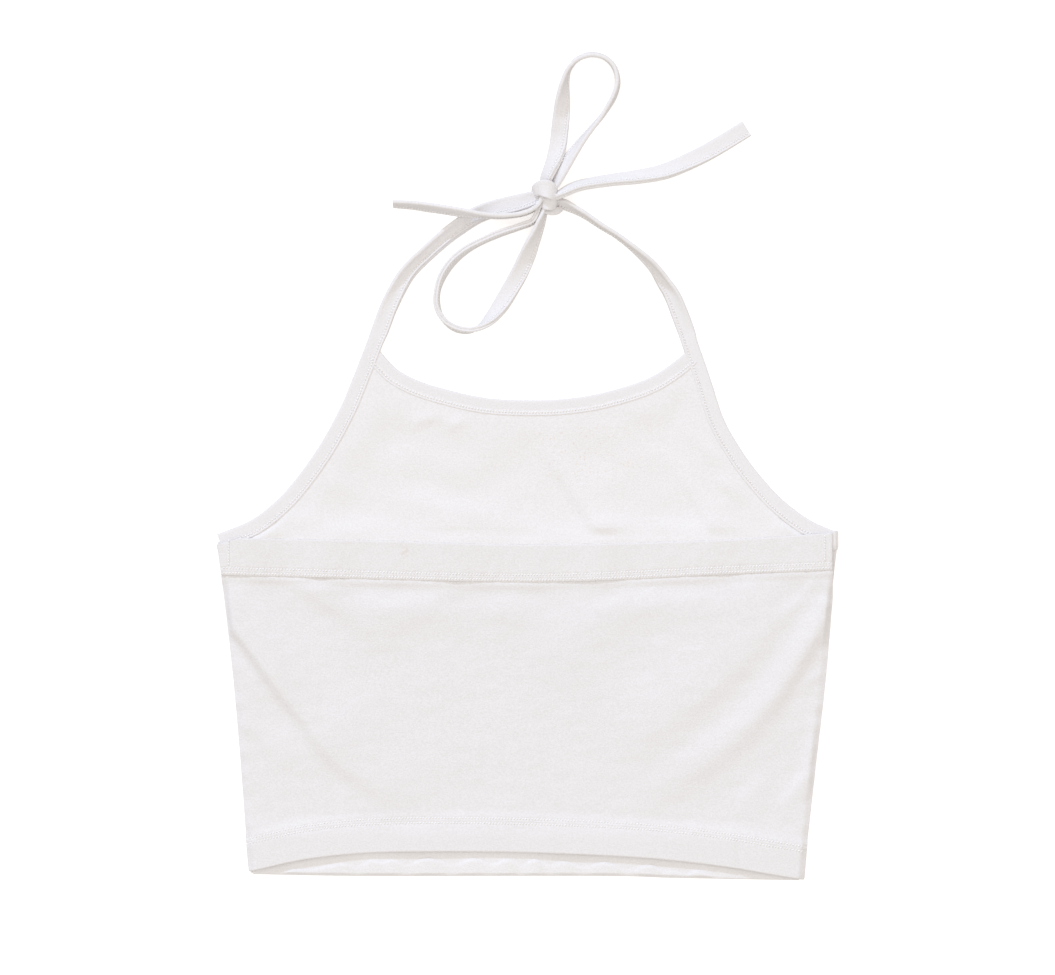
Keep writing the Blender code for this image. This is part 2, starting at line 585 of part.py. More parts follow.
def make_neck_binding(cloth):
    """The folded strip over the front's neck edge, from one armhole binding to the other."""
    def clear_of_armholes(path):
        arms = np.vstack([ARM_EDGE["left"], ARM_EDGE["right"]])
        return distance_to(arms, path[:, 0], path[:, 1]) - BINDING_WIDTH - SEAM_GAP

    outer = evenly(between(NECK_PATH, clear_of_armholes), NECK_COLUMNS)
    inner = evenly(between(beside(NECK_PATH, -BINDING_WIDTH), clear_of_armholes), NECK_COLUMNS)
    rings = paired_rings(outer, inner, np.zeros(NECK_COLUMNS), BINDING_THICK)
    return make_strip("neck_binding", rings, cloth, slot_side=1, slotted=NECK_COLUMNS)


def make_binding(side, strap_rows, cloth):
    """The strip that binds an armhole's edge and runs on as the neck strap, up to the knot."""
    def above_band(path):
        return path[:, 1] - band_top(path[:, 0]) - SEAM_GAP

    outer = between(ARM_EDGE[side], above_band)
    inner = between(arm_inner(side), above_band)
    if side == "right":
        outer, inner = outer[::-1], inner[::-1]
    count = round(length(outer) / BINDING_STEP)
    outer, inner = evenly(outer, count), evenly(inner, count)
    left, right = (outer, inner) if side == "left" else (inner, outer)
    rings = paired_rings(left, right, np.zeros(count), BINDING_THICK)
    strap, ahead = strap_rings(strap_rows, taper_from=BINDING_THICK)
    strap[-1] = cut_at_knot(strap[-1], -ahead[-1])
    slot_side = 1 if side == "left" else -1
    return make_strip(f"binding_{side}", rings + strap[1:], cloth, slot_side=slot_side, slotted=count)


def make_tie(name, rows, cloth, ends_at_knot=1):
    """A free stretch of tie, cut clear of the knot where it leaves it, and at its other end if it is a loop."""
    rings, ahead = strap_rings(rows)
    rings[0] = cut_at_knot(rings[0], ahead[0])
    if ends_at_knot == 2:
        rings[-1] = cut_at_knot(rings[-1], -ahead[-1])
    return make_strip(name, rings, cloth)


def make_knot_turn(name, middle, half, cloth):
    """One turn of the knot: a rounded lump of cloth."""
    around, rings = 14, 9
    points = []
    for k in range(1, rings):
        tip = math.pi * k / rings
        for j in range(around):
            turn = 2 * math.pi * j / around
            direction = (math.sin(tip) * math.cos(turn), math.sin(tip) * math.sin(turn), math.cos(tip))
            points.append([m + h * d for m, h, d in zip(middle, half, direction)])
    points.append([middle[0], middle[1], middle[2] + half[2]])
    points.append([middle[0], middle[1], middle[2] - half[2]])
    top, bottom = len(points) - 2, len(points) - 1
    faces = []
    for k in range(rings - 2):
        for j in range(around):
            after = (j + 1) % around
            faces.append((k * around + j, (k + 1) * around + j, (k + 1) * around + after, k * around + after))
    last = (rings - 2) * around
    for j in range(around):
        after = (j + 1) % around
        faces.append((top, j, after))
        faces.append((bottom, last + after, last + j))
    return make_object(name, points, faces, cloth)


def build():
    for old in list(bpy.data.objects):
        bpy.data.objects.remove(old)
    jersey = make_material("white_jersey", (0.84, 0.83, 0.84), 0.9)
    binding = make_material("white_binding", (0.85, 0.84, 0.85), 0.88)
    elastic = make_material("white_elastic_band", (0.83, 0.82, 0.82), 0.88)
    make_front_panel(jersey)
    make_front_hem(jersey)
    make_back_panel(jersey)
    make_back_band(elastic)
    make_neck_binding(binding)
    make_binding("left", STRAP_LEFT, binding)
    make_binding("right", STRAP_RIGHT, binding)
    make_tie("tie_loop_upper", LOOP_UPPER, binding, ends_at_knot=2)
    make_tie("tie_loop_lower", LOOP_LOWER, binding, ends_at_knot=2)
    make_tie("tie_end_left", TIE_END_LEFT, binding)
    make_tie("tie_end_right", TIE_END_RIGHT, binding)
    make_knot_turn("knot_wrap", *KNOT_WRAP, binding)
    make_knot_turn("knot_tuck", *KNOT_TUCK, binding)


build()
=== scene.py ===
"""Looks of the white halter crop top: laid flat on its front, back side up, its neck ties in a bow.

The tables and curves are those of the solids, in millimetres: X across the garment, Y from the hem to the
neck, Z up from the surface. Every piece is modelled again with finer form and replaces its plain solid.
"""
import math

import bmesh
import bpy
import numpy as np
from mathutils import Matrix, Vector


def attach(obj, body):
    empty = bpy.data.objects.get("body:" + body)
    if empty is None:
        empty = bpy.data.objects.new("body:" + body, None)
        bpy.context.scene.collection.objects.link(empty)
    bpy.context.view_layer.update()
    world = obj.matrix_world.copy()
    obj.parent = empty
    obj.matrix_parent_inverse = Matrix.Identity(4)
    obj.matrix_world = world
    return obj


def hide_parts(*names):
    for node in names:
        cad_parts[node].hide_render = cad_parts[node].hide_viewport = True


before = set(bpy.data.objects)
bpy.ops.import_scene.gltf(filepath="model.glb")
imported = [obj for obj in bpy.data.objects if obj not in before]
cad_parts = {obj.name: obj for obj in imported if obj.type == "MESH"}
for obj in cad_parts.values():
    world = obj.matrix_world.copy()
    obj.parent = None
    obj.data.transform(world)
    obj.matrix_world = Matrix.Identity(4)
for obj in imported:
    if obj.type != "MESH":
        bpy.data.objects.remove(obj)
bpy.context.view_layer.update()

MM = 0.001

# Cloth, bindings and ties.
CLOTH_THICK = 1.0
SEAM_GAP = 0.3
PANEL_TUCK = 5.0
PANEL_LIFT = 1.3
LIFT_FADE = 12.0
BINDING_SLOPE = 30.0  # over which the front sinks away from its bindings
BINDING_WIDTH = 9.8
BINDING_THICK = 3.4
STRAP_WIDTH = 10.6
STRAP_THICK = 3.3
TIE_FLAT = 0.0106  # a tie's width, in metres
BAND_THICK = 2.7
BAND_LAP = 5.5
HEM_HEIGHT = 20.5
FRONT_HEM_LEVEL = -252.0
HEM_THICK = 1.7
LEAST_HEIGHT = 0.15  # of the back's cloth above the surface
RIPPLE_HEIGHT = 1.1
RIPPLE_START = 6.2  # below the back's hem edge
HEM_RIPPLES = 14
HEM_RUN = 340.0
BACK_RIGHT_MOST = 186.4
BACK_OVER_HEM = 1.1  # how far the front's turned-up hem lifts the back's hem
OVER_HEM_SLOPE = 14.0  # over which it sinks again
AT_BAND_SLOPE = 16.0  # over which the back rises to the band
BELOW_BAND_LIFT = 1.3  # of the back's cloth, gathered just below the band
ABOVE_BAND_LIFT = 2.35  # of the front's cloth, up to the band's top edge
ABOVE_BAND_RUN = 12.0

# Sewing.
STITCH_PITCH = 1.85
STITCH_LENGTH = 1.25
STITCH_SLANT = 32.0  # degrees from the row's line
THREAD_RADIUS = 0.47
HEM_STITCH_ROWS = (17.0, 20.0)  # above the hem's edge
BAND_STITCH_ROWS = (1.5, 4.4)  # above the band's lower edge
EDGE_STITCH = 2.3  # in from a binding's panel-side edge
GROOVE_DEPTH = 0.3
GROOVE_HALF = 0.6

# Outlines, hem to neck: y of the section, x of the side seam.
SIDE_LEFT = [(-250.6, -171), (-230, -172.8), (-181, -176.5), (-132, -180.8), (-83, -186.3), (-52, -190.2)]
SIDE_RIGHT = [(-254.3, 169.3), (-230, 171.6), (-181, 177.1), (-132, 182.7), (-83, 187), (-52, 190.2)]

# Edges that run across the garment: x, y.
FRONT_HEM_EDGE = [(-172, -250.4), (-100, -251.6), (45, -251.6), (90, -252.8), (170, -254.3)]
BACK_HEM_EDGE = [
    (-172, -249), (-139, -241.6), (-107, -237.8), (-67, -236.4), (0, -237), (70, -240.2), (117, -245.2),
    (150, -250.6), (170, -254),
]
BAND_TOP_EDGE = [(-192, -41.4), (-181, -44), (-90, -45.8), (5, -48.2), (117, -45.4), (192, -40.6)]
BAND_LOW_EDGE = [(-192, -67), (-140, -68.4), (5, -71.4), (117, -67), (192, -63.8)]
NECK_EDGE = [
    (-99, 79.6), (-89.8, 69.2), (-80, 58.9), (-65.2, 51.4), (-49.8, 46.8), (-35, 43.2), (-20.3, 41),
    (0, 40.2), (19.7, 40.8), (39.4, 43.4), (57.2, 47.8), (73.2, 53.4), (86.1, 61), (96.6, 69.6),
    (107, 78.4),
]

# The armhole's bound edges, from the band's corner up to where the strap leaves the panel: x, y.
ARMHOLE_LEFT = [
    (-193, -42.9), (-170.4, -33.5), (-154.4, -21.2), (-143.3, -8.9), (-134.1, 3.4), (-126.1, 15.7),
    (-119.3, 28), (-113.2, 40.3), (-108.2, 52.6), (-103.3, 64.9), (-98.6, 77.2),
]
ARMHOLE_RIGHT = [
    (193, -42), (173.4, -33.5), (156.8, -21.2), (145.1, -8.9), (135.3, 3.4), (127.3, 15.7), (120.6, 28),
    (116.2, 40.3), (112.4, 52.6), (108.2, 64.9), (103.9, 77.2),
]

# The straps and ties: x and y of the middle of what shows, tilt and curl in degrees, and the height of the
# lowest edge. A tilt above zero lifts the edge on the left of the run; a curl lifts both edges.
STRAP_LEFT = [
    (-90.6, 84, 0, 10, 0), (-85.2, 98.1, 4, 40, 0), (-78, 112.2, 14, 90, 0), (-71.6, 121, 20, 125, 0),
    (-61.7, 130.6, 22, 135, 0), (-49.6, 141.2, 20, 125, 0), (-35.2, 151.6, 12, 90, 0),
    (-27.1, 155.8, 4, 60, 0), (-16.7, 159, 0, 30, 0), (-7.3, 161.2, 0, 20, 0), (2.4, 163.8, 0, 40, 1),
    (8, 165.4, 0, 60, 2),
]
STRAP_RIGHT = [
    (96.8, 84, -4, 10, 0), (89.5, 103, -24, 70, 0), (83.3, 112.9, -40, 110, 0), (76.3, 122.7, -62, 90, 0),
    (66.1, 132.5, -80, 30, 0), (54.9, 141.2, -86, 10, 0), (44.5, 147.6, -85, 10, 0),
    (36, 153.4, -82, 10, 0), (29.6, 157, -78, 10, 0), (23.6, 160, -68, 10, 0), (17.5, 162.4, -56, 20, 0),
    (12, 164, -40, 20, 1),
]
LOOP_UPPER = [
    (10.2, 167, -56, 0, 0.4), (10.4, 171.4, -56, 0, 0.2), (11.4, 176.6, -54, 10, 0),
    (13.6, 182, -46, 20, 0), (16, 187.8, -32, 30, 0), (18.3, 196, -12, 20, 0), (19.6, 206.3, 4, 20, 0),
    (20.6, 216.2, 16, 30, 0), (21.5, 226, 44, 30, 0), (22.6, 235, 70, 20, 0), (24.8, 242.6, 86, 10, 0),
    (29.6, 248.9, 96, 0, 0), (38.1, 252.1, 100, 0, 0), (46.6, 250.6, 98, 0, 0), (52.4, 245.6, 94, 0, 0),
    (54.9, 238.3, 94, 0, 0), (54.4, 231, 96, 0, 0), (50.6, 222.4, 95, 0, 0), (43.6, 212.4, 86, 0, 0),
    (34.3, 201.2, 74, 0, 0.4), (27.4, 191.6, 60, 10, 0.6), (21.9, 183.6, 46, 20, 1.2),
    (17.9, 177.4, 38, 20, 1.6), (15, 172, 42, 0, 1.2), (13.8, 167.6, 60, 0, 1),
]
LOOP_LOWER = [
    (9, 161, -80, 0, 0), (7, 158.2, -79, 0, 0), (5.4, 153.6, -82, 0, 0), (2.4, 149.4, -84, 0, 0),
    (-6, 146.2, -84, 0, 0), (-18.1, 142, -82, 0, 0), (-29.2, 137.2, -82, 0, 0), (-38.4, 132, -78, 0, 0),
    (-46.8, 124.6, -74, 0, 0), (-52.8, 115.6, -76, 0, 0), (-55.7, 106.6, -83, 0, 0),
    (-55.7, 97.6, -82, 0, 0), (-52, 89.7, -90, 0, 0), (-45, 84.4, -99, 0, 0), (-36.8, 82.8, -96, 0, 0),
    (-29.2, 85, -78, 10, 0), (-22.7, 90.6, -50, 20, 0), (-16.6, 98.6, -24, 20, 0),
    (-11.1, 107.9, -6, 20, 0), (-5.5, 117.8, 6, 20, 0), (-0.9, 127.6, 22, 20, 0), (2.7, 136.2, 46, 20, 0),
    (5.8, 143.4, 62, 10, 0), (8.2, 150.2, 72, 0, 0), (10, 156, 78, 0, 0), (11.2, 160.6, 80, 0, 0),
]
TIE_END_LEFT = [
    (11, 168, -84, 0, 2.6), (9, 164.9, -86, 0, 2.6), (6.7, 160.5, -90, 0, 2.6), (3.6, 157.2, -92, 0, 2.8),
    (-1.2, 154.8, -92, 0, 3), (-7.4, 153.4, -92, 0, 3), (-16.6, 152.8, -90, 0, 3.2),
    (-28.4, 153.6, -86, 0, 4.6), (-40, 155.1, -75, 0, 5), (-50.5, 156.9, -73, 0, 3.8),
    (-61, 158.7, -73, 0, 1), (-71, 160.1, -76, 0, 0), (-82.8, 160.9, -80, 0, 0),
]
TIE_END_RIGHT = [
    (12, 163.2, -66, 0, 2.4), (15.6, 164.2, -66, 0, 2.8), (20, 166.2, -62, 0, 4.2),
    (25.2, 168.9, -60, 0, 4.4), (31, 171.3, -58, 10, 3), (38, 173, -56, 20, 1), (51.7, 175.3, -50, 30, 0),
    (68.3, 177.4, -38, 40, 0), (83.6, 180.5, -28, 30, 0), (98.4, 186.7, -14, 20, 0),
    (113.8, 194.6, -6, 10, 0), (134.4, 207.2, 0, 0, 0),
]
KNOT_MIDDLE = (12.0, 163.0)
KNOT_PINCH = 0.42  # share of its width that a tie loses inside the knot

# Folds: x and y of the crest, its height, and how far it falls away on the left and right of its run.
BACK_FOLDS = [
    # Drag line from the left side seam to the hem, steep on its lower left.
    [(-184.5, -95.5, 3.6, 14, 2.6), (-167.8, -116.7, 4.2, 22, 3.4), (-151.8, -138.4, 4, 25, 4.4),
     (-135, -158.1, 3.6, 27, 5.4), (-122.3, -175.5, 3.2, 28, 6.2), (-103, -190.9, 2.4, 28, 7.4),
     (-81, -200.6, 1, 26, 10), (-60, -208, 0, 24, 13)],
    # Ridge from the right side seam to the hem.
    [(187.5, -78, 2.4, 5, 7), (180.8, -93.2, 3.2, 6, 9), (167.3, -116.5, 3.4, 7, 11),
     (150.1, -142.4, 3.2, 8, 12), (129.2, -163.9, 2.8, 9, 13), (105.8, -182.3, 2.2, 10, 14),
     (78.1, -199.6, 1, 12, 15), (56.6, -209.4, 0, 14, 15)],
    # Broad swell above it, whose flank is the dim valley before the ridge.
    [(170, -76, 0.8, 9, 18), (149, -96, 2.4, 11, 30), (127, -120, 3.2, 13, 38), (102, -144, 3.2, 14, 40),
     (74, -163, 2.2, 16, 40), (44, -178, 0, 20, 38)],
    [(-171, -160, 1.2, 9, 5), (-158, -173, 1.1, 10, 5), (-145, -187, 0, 10, 8)],
    [(-182, -76, 0.8, 6, 6), (-161, -101, 0.7, 8, 7), (-143, -127, 0, 8, 9)],
    [(177, -70, 0.8, 8, 3), (163, -87, 0.9, 9, 4), (149, -97, 0, 9, 6)],
    [(174, -131, 1.1, 4, 2.4), (165, -141, 0, 5, 4)],
    [(176, -160, 0.4, 7, 4), (173.5, -176, 1.6, 8, 5), (169, -193, 1.6, 8, 3.4), (151, -215, 0, 8, 5)],
    [(147, -190, 0.5, 10, 6), (138, -203, 1, 10, 6), (127, -218, 0, 10, 8)],
    # Fullness that the band gathers, and the drag lines below it.
    [(-187, -80, 1.2, 7, 9), (-168, -82, 0.9, 7, 10), (-146, -88, 0, 8, 10)],
    [(-140, -73, 1, 14, 5), (-122, -84, 1.6, 16, 6), (-98, -99, 1.1, 16, 8), (-76, -114, 0, 16, 10)],
    [(-114, -84, 0.2, 6, 10), (-92, -87, 1.5, 7, 13), (-64, -87.5, 1.6, 7, 14), (-44, -90, 0.8, 7, 14),
     (-14, -88.5, 1.5, 7, 14), (6, -90, 0.6, 7, 14), (34, -90, 0.4, 7, 14), (60, -87, 1.4, 7, 13),
     (92, -84.5, 1.7, 7, 12), (118, -83, 0.8, 6, 11), (146, -80, 0.3, 6, 10)],
    [(62, -84, 1, 20, 10), (42, -97, 2, 24, 14), (18, -114, 1.2, 26, 17), (-4, -128, 0, 26, 18)],
]
FRONT_FOLDS = [
    [(6, 16, 0, 12, 5), (18, -1, 1.7, 13, 4.4), (31, -20, 2.5, 14, 4.4), (44, -40, 2.3, 14, 5)],
    [(-80, -20, 0.3, 8, 12), (-56, -26.5, 1.6, 9, 12), (-30, -30, 1.7, 9, 9), (-6, -35, 0.4, 9, 8)],
    [(88, 10, 0.1, 11, 6), (97, -8, 1.5, 12, 5), (108, -26, 2.1, 12, 5), (116, -42, 1.5, 12, 6)],
    [(-74, 22, 0, 5, 4), (-62, 29, 1.1, 6, 3.4), (-48, 33, 0.2, 6, 5)],
    [(-52, 21, 0, 5, 4), (-42, 27, 1.1, 6, 3.4), (-32, 31, 0.2, 5, 5)],
    [(100, 22, 0, 5, 4), (112, 8, 1.2, 6, 3.4), (124, 2, 0.2, 6, 5)],
    [(112, -8, 0.1, 5, 4), (124, -14, 1.1, 6, 3.4), (134, -24, 0.1, 6, 5)],
    [(-104, 12, 0, 12, 12), (-70, 4, 0.9, 13, 12), (-34, 2, 0.8, 13, 12), (0, 6, 0, 12, 12)],
    [(40, 20, 0, 14, 10), (62, 4, 1, 14, 9), (74, -20, 0.9, 13, 9), (82, -40, 0.4, 13, 10)],
]
# Where the back dips away from the band's lower edge: x of the middle, depth, half width.
BAND_DIPS = [(-178, 0.7, 9), (-128, 0.9, 8), (-43, 0.8, 15), (34, 0.9, 20), (122, 0.6, 12), (170, 0.3, 8)]
# Soft upright waves of the relaxed elastic: x of the crest, height, half width.
BAND_WAVES = [
    (-178, 0.7, 11), (-124, 1.5, 14), (-86, 0.5, 11), (-44, 1.3, 15), (4, 0.6, 14), (44, 1.6, 13),
    (84, 0.5, 13), (112, 1.3, 14), (150, 0.6, 13), (178, 0.5, 9),
]
FOLD_CLEAR_TOP = -36.0
FOLD_CLEAR_LOW = -44.0
SEAM_FADE = 4.0
SEAM_ROLL = 1.0  # a side seam rolls down by this much
SEAM_ROLL_RUN = 3.5

# A folded strip's outline over its upper face, from the outer fold to the stitched edge on the right of its
# run, where its two plies part: share of half its width, share of half its thickness.
STRIP_FACE = [
    (-1.0, 0.0), (-0.985, 0.38), (-0.93, 0.66), (-0.82, 0.78), (-0.62, 0.80), (-0.36, 0.78), (-0.08, 0.76),
    (0.16, 0.74), (0.36, 0.71), (0.47, 0.67), (0.55, 0.62), (0.62, 0.68), (0.71, 0.82), (0.82, 0.94),
    (0.91, 0.96), (0.975, 0.80), (1.0, 0.52), (0.985, 0.26), (0.94, 0.08), (0.90, 0.0),
]
STRIP_OUTLINE = STRIP_FACE + [(side, -lift) for side, lift in STRIP_FACE[-2:0:-1]]
SURFACE_STITCH_LIFT = 0.12
STITCH_LIFT = 0.80  # height of the thread's middle, as a share of half the strip's thickness

# Light: a weak cool key from above the neckline, and a warm surround, plainer below.
KEY_ENERGY = 1.30
KEY_SPREAD = 2.5
KEY_COLOUR = (0.60, 0.74, 1.0)
TOWARDS_KEY = (-0.34, 0.84, 0.42)
SURROUND_ABOVE = (1.065, 1.026, 0.975)
SURROUND_LEVEL = (0.648, 0.624, 0.594)
SURROUND_BELOW = (0.62, 0.565, 0.52)

# Fineness of the curves.
SPLINE_STEPS = 24  # between two rows of a table
STRIP_STEP = 1.1
TIE_STEP = 0.9
SWEEP_STEP = 0.7
NEARBY = 0.5  # reach over which a row of stitches takes its direction

# The camera looks straight down, on the whole frame of the picture.
CAMERA_HEIGHT = 2.0
VIEW_MIDDLE = (-0.0003, -0.0135)
VIEW_WIDTH = 0.6488
SENSOR = 36.0


def spline(rows):
    """Dense points of a smooth curve through the rows; the further columns go along."""
    rows = np.array(rows, float)
    ends = np.vstack([2 * rows[0] - rows[1], rows, 2 * rows[-1] - rows[-2]])
    t = np.linspace(0, 1, SPLINE_STEPS, endpoint=False)[:, None]
    spans = []
    for a, b, c, d in zip(ends, ends[1:], ends[2:], ends[3:]):
        spans.append(b + 0.5 * t * (c - a + t * (2 * a - 5 * b + 4 * c - d + t * (3 * (b - c) + d - a))))
    return np.vstack(spans + [rows[-1:]])


def smooth(rows, step):
    """Points about step apart along the rows' smooth curve."""
    dense = spline(rows)
    return evenly(dense, round(length(dense) / step) + 1)


def runs(path):
    """Distance along the path to each of its points."""
    return np.r_[0, np.cumsum(np.hypot(*np.diff(path[:, :2], axis=0).T))]


def length(path):
    return runs(path)[-1]


def evenly(path, count):
    """The path's count points, evenly apart."""
    run = runs(path)
    at = np.linspace(0, run[-1], count)
    return np.stack([np.interp(at, run, column) for column in path.T], axis=1)


def headings(path):
    steps = np.gradient(path[:, :2], axis=0)
    return steps / np.hypot(*steps.T)[:, None]


def beside(path, distance):
    """The path moved to its left by the distance."""
    ahead = headings(path)
    return path[:, :2] + distance * np.stack([-ahead[:, 1], ahead[:, 0]], axis=1)


def ease(t):
    """0 to 1, with level ends."""
    t = np.clip(t, 0, 1)
    return t * t * (3 - 2 * t)


def bump(t):
    return np.exp(-t * t)


def distance_to(path, x, y):
    """Distance from each point to the nearest point of the path."""
    away = np.full(np.shape(x), np.inf)
    for px, py in path[:, :2]:
        away = np.minimum(away, (x - px) ** 2 + (y - py) ** 2)
    return np.sqrt(away)


def edge_height(rows):
    """y of an edge that runs across the garment, as a function of x."""
    path = smooth(rows, 2.0)
    order = np.argsort(path[:, 0])
    return lambda x: np.interp(x, path[order, 0], path[order, 1])


ARM_EDGE = {"left": smooth(ARMHOLE_LEFT, 1.0), "right": smooth(ARMHOLE_RIGHT, 1.0)[::-1]}
NECK_PATH = smooth(NECK_EDGE, 1.0)
band_top = edge_height(BAND_TOP_EDGE)
band_low_edge = edge_height(BAND_LOW_EDGE)
front_hem_edge = edge_height(FRONT_HEM_EDGE)
back_hem_edge = edge_height(BACK_HEM_EDGE)


def outline(side):
    """x of the panels' cut edge as a function of y: the side seam, then inside the armhole's binding."""
    seam = smooth(SIDE_LEFT if side == "left" else SIDE_RIGHT, 3.0)
    arm = beside(ARM_EDGE[side], PANEL_TUCK - BINDING_WIDTH)
    arm = arm[arm[:, 1] > seam[-1, 0] + 4.0]
    order = np.argsort(arm[:, 1])
    y = np.r_[seam[:, 0], arm[order, 1]]
    x = np.r_[seam[:, 1], arm[order, 0]]
    return lambda at: np.interp(at, y, x)


left_edge = outline("left")
right_edge = outline("right")
NECK_CUT = beside(NECK_PATH, PANEL_TUCK - BINDING_WIDTH)


def neck_cut_y(x):
    """y of the front panel's neck edge, inside its binding."""
    return np.interp(x, NECK_CUT[:, 0], NECK_CUT[:, 1])


def fold_height(folds, x, y):
    """How high the folds lift the cloth: each falls away from its crest, by its own width on either hand."""
    total = np.zeros(np.shape(x))
    for rows in folds:
        path = smooth(rows, 2.5)
        ahead = headings(path)
        best = np.full(np.shape(x), np.inf)
        lift = np.zeros(np.shape(x))
        for (px, py, high, left, right), (hx, hy) in zip(path, ahead):
            dx, dy = x - px, y - py
            away = dx * dx + dy * dy
            width = np.where(hx * dy - hy * dx > 0, left, right)
            nearer = away < best
            lift = np.where(nearer, high * np.exp(-away / width**2), lift)
            best = np.minimum(best, away)
        total = total + lift
    return total


def unevenness(x, y, grain, seed):
    """Gentle unevenness of cloth that lies loose, from a few crossing waves, between -1 and 1."""
    rng = np.random.default_rng(seed)
    total = np.zeros(np.shape(x))
    for _ in range(7):
        turn = rng.uniform(0, math.pi)
        long = grain * rng.uniform(0.7, 1.7)
        phase = rng.uniform(0, 2 * math.pi)
        along = x * math.cos(turn) + y * math.sin(turn)
        total = total + np.sin(2 * math.pi * along / long + phase)
    return total / 4.0


def binding_distance(x, y):
    """Distance to the nearest bound edge."""
    return np.minimum.reduce([distance_to(path, x, y) for path in (*ARM_EDGE.values(), NECK_PATH)])


def front_low_plain(x, y):
    """The front's underside without its folds: raised where it runs into a binding."""
    return PANEL_LIFT * (1 - ease((binding_distance(x, y) - BINDING_WIDTH) / LIFT_FADE))


def front_low(x, y):
    """Height of the front's underside: on the surface, but raised into its bindings and along soft folds."""
    inward = binding_distance(x, y) - BINDING_WIDTH
    bound = 1 - ease(inward / LIFT_FADE)
    from_band = y - band_top(x)
    slope = 1 - ease(inward / BINDING_SLOPE)
    sinking = slope * (PANEL_LIFT + 0.5) * ease((from_band - 3.0) / ABOVE_BAND_RUN)
    held_up = np.maximum(bound * PANEL_LIFT, sinking)
    free = ease((y - FOLD_CLEAR_LOW) / (FOLD_CLEAR_TOP - FOLD_CLEAR_LOW)) * (1 - bound)
    loose = 0.35 * (1 + unevenness(x, y, 34.0, 5))
    above = from_band + 0.35
    rise = (ABOVE_BAND_LIFT + band_wave(x)) * bump(above / np.where(above > 0, ABOVE_BAND_RUN, 0.5))
    clear = ease((inward + 0.5) / 3.0)
    return held_up + free * (fold_height(FRONT_FOLDS, x, y) + loose) + clear * rise


def band_bottom(x):
    """The band lies on the highest part of the front below it."""
    share = np.linspace(0, 1, 7)
    y = band_top(x)[..., None] * share + band_low_edge(x)[..., None] * (1 - share)
    return front_low_plain(np.broadcast_to(x[..., None], y.shape), y).max(-1) + CLOTH_THICK + SEAM_GAP


def band_wave(x):
    return sum(high * bump((x - crest) / half) for crest, high, half in BAND_WAVES)


def hem_ripple(x, rise):
    """Puffs of the front's turned-up hem, from below the back's hem edge to the front's folded edge."""
    wave = np.sin(2 * math.pi * HEM_RIPPLES * x / HEM_RUN + 1.9 * np.sin(x / 29.0))
    small = np.sin(x / 3.3 + 2.2 * np.sin(x / 15.0))
    start = back_hem_edge(x) - RIPPLE_START + 1.2 * wave + 0.9 * small
    below = ease((start - front_hem_edge(x) - rise) / 2.0)
    return RIPPLE_HEIGHT * (0.72 + 0.34 * wave + 0.16 * small) * below * ease((rise + 0.3) / 1.0)


def groove(offset, rows):
    return sum(GROOVE_DEPTH * bump((offset - row) / GROOVE_HALF) for row in rows)


def seam_puckers(x, y, away):
    """Small puckers that a side seam's stitching pulls into the cloth."""
    wave = np.sin(y / 2.9 + 1.7 * np.sin(y / 13.0)) + 0.6 * np.sin(y / 1.7 + x / 9.0)
    return 0.28 * wave * bump((away - 1.0) / 5.0)


def back_low(x, y):
    """Height of the back's underside: on the front, over its turned-up hem and up to the band, with folds."""
    hem_line = front_hem_edge(x) + HEM_HEIGHT
    below = band_low_edge(x) - y
    over_hem = 1 - ease((y - hem_line - 1.5) / OVER_HEM_SLOPE)
    at_band = 1 - ease(below / AT_BAND_SLOPE)
    in_from_seam = np.minimum(x - left_edge(y), right_edge(y) - x)
    rest = CLOTH_THICK + SEAM_GAP + over_hem * BACK_OVER_HEM
    rest = rest + at_band * (band_bottom(x) - CLOTH_THICK - SEAM_GAP - 0.05 + 0.8 * band_wave(x))
    dips = sum(depth * bump((x - middle) / half) for middle, depth, half in BAND_DIPS)
    rest = rest + (BELOW_BAND_LIFT - 0.8 * dips) * bump((below - 1.5) / 3.4) * ease((below + 0.8) / 0.8)
    free = ease(in_from_seam / SEAM_FADE) * (1 - over_hem) * ease(below / 9.0)
    loose = 0.4 * (1 + unevenness(x, y, 46.0, 11)) + 0.12 * unevenness(x, y, 13.0, 3)
    folded = fold_height(BACK_FOLDS, x, y) + loose
    rest = rest + free * folded + seam_puckers(x, y, in_from_seam) * (1 - at_band)
    hem_waves = 0.45 * over_hem * (1 + unevenness(x, 0 * y, 60.0, 21))
    roll = (SEAM_ROLL + BACK_OVER_HEM * over_hem) * (1 - ease(in_from_seam / SEAM_ROLL_RUN))
    return np.maximum(rest + hem_waves * ease(in_from_seam / 14.0) - roll, LEAST_HEIGHT)


def add_object(name, data):
    made = bpy.data.objects.new(name, data)
    bpy.context.scene.collection.objects.link(made)
    return made


def add_mesh(name, points, faces, material, smooth_angle=60, uv=None):
    """A mesh object through points in millimetres, its faces turned outwards."""
    mesh = bpy.data.meshes.new(name)
    mesh.from_pydata((np.asarray(points) * MM).tolist(), [], faces)
    if uv is not None:
        layer = mesh.uv_layers.new(name="strip")
        corners = np.empty(len(mesh.loops), np.int32)
        mesh.loops.foreach_get("vertex_index", corners)
        layer.data.foreach_set("uv", (np.asarray(uv) * MM)[corners].ravel())
    shape = bmesh.new()
    shape.from_mesh(mesh)
    bmesh.ops.recalc_face_normals(shape, faces=shape.faces)
    shape.to_mesh(mesh)
    shape.free()
    mesh.shade_smooth()
    mesh.set_sharp_from_angle(angle=math.radians(smooth_angle))
    mesh.materials.append(material)
    return add_object(name, mesh)


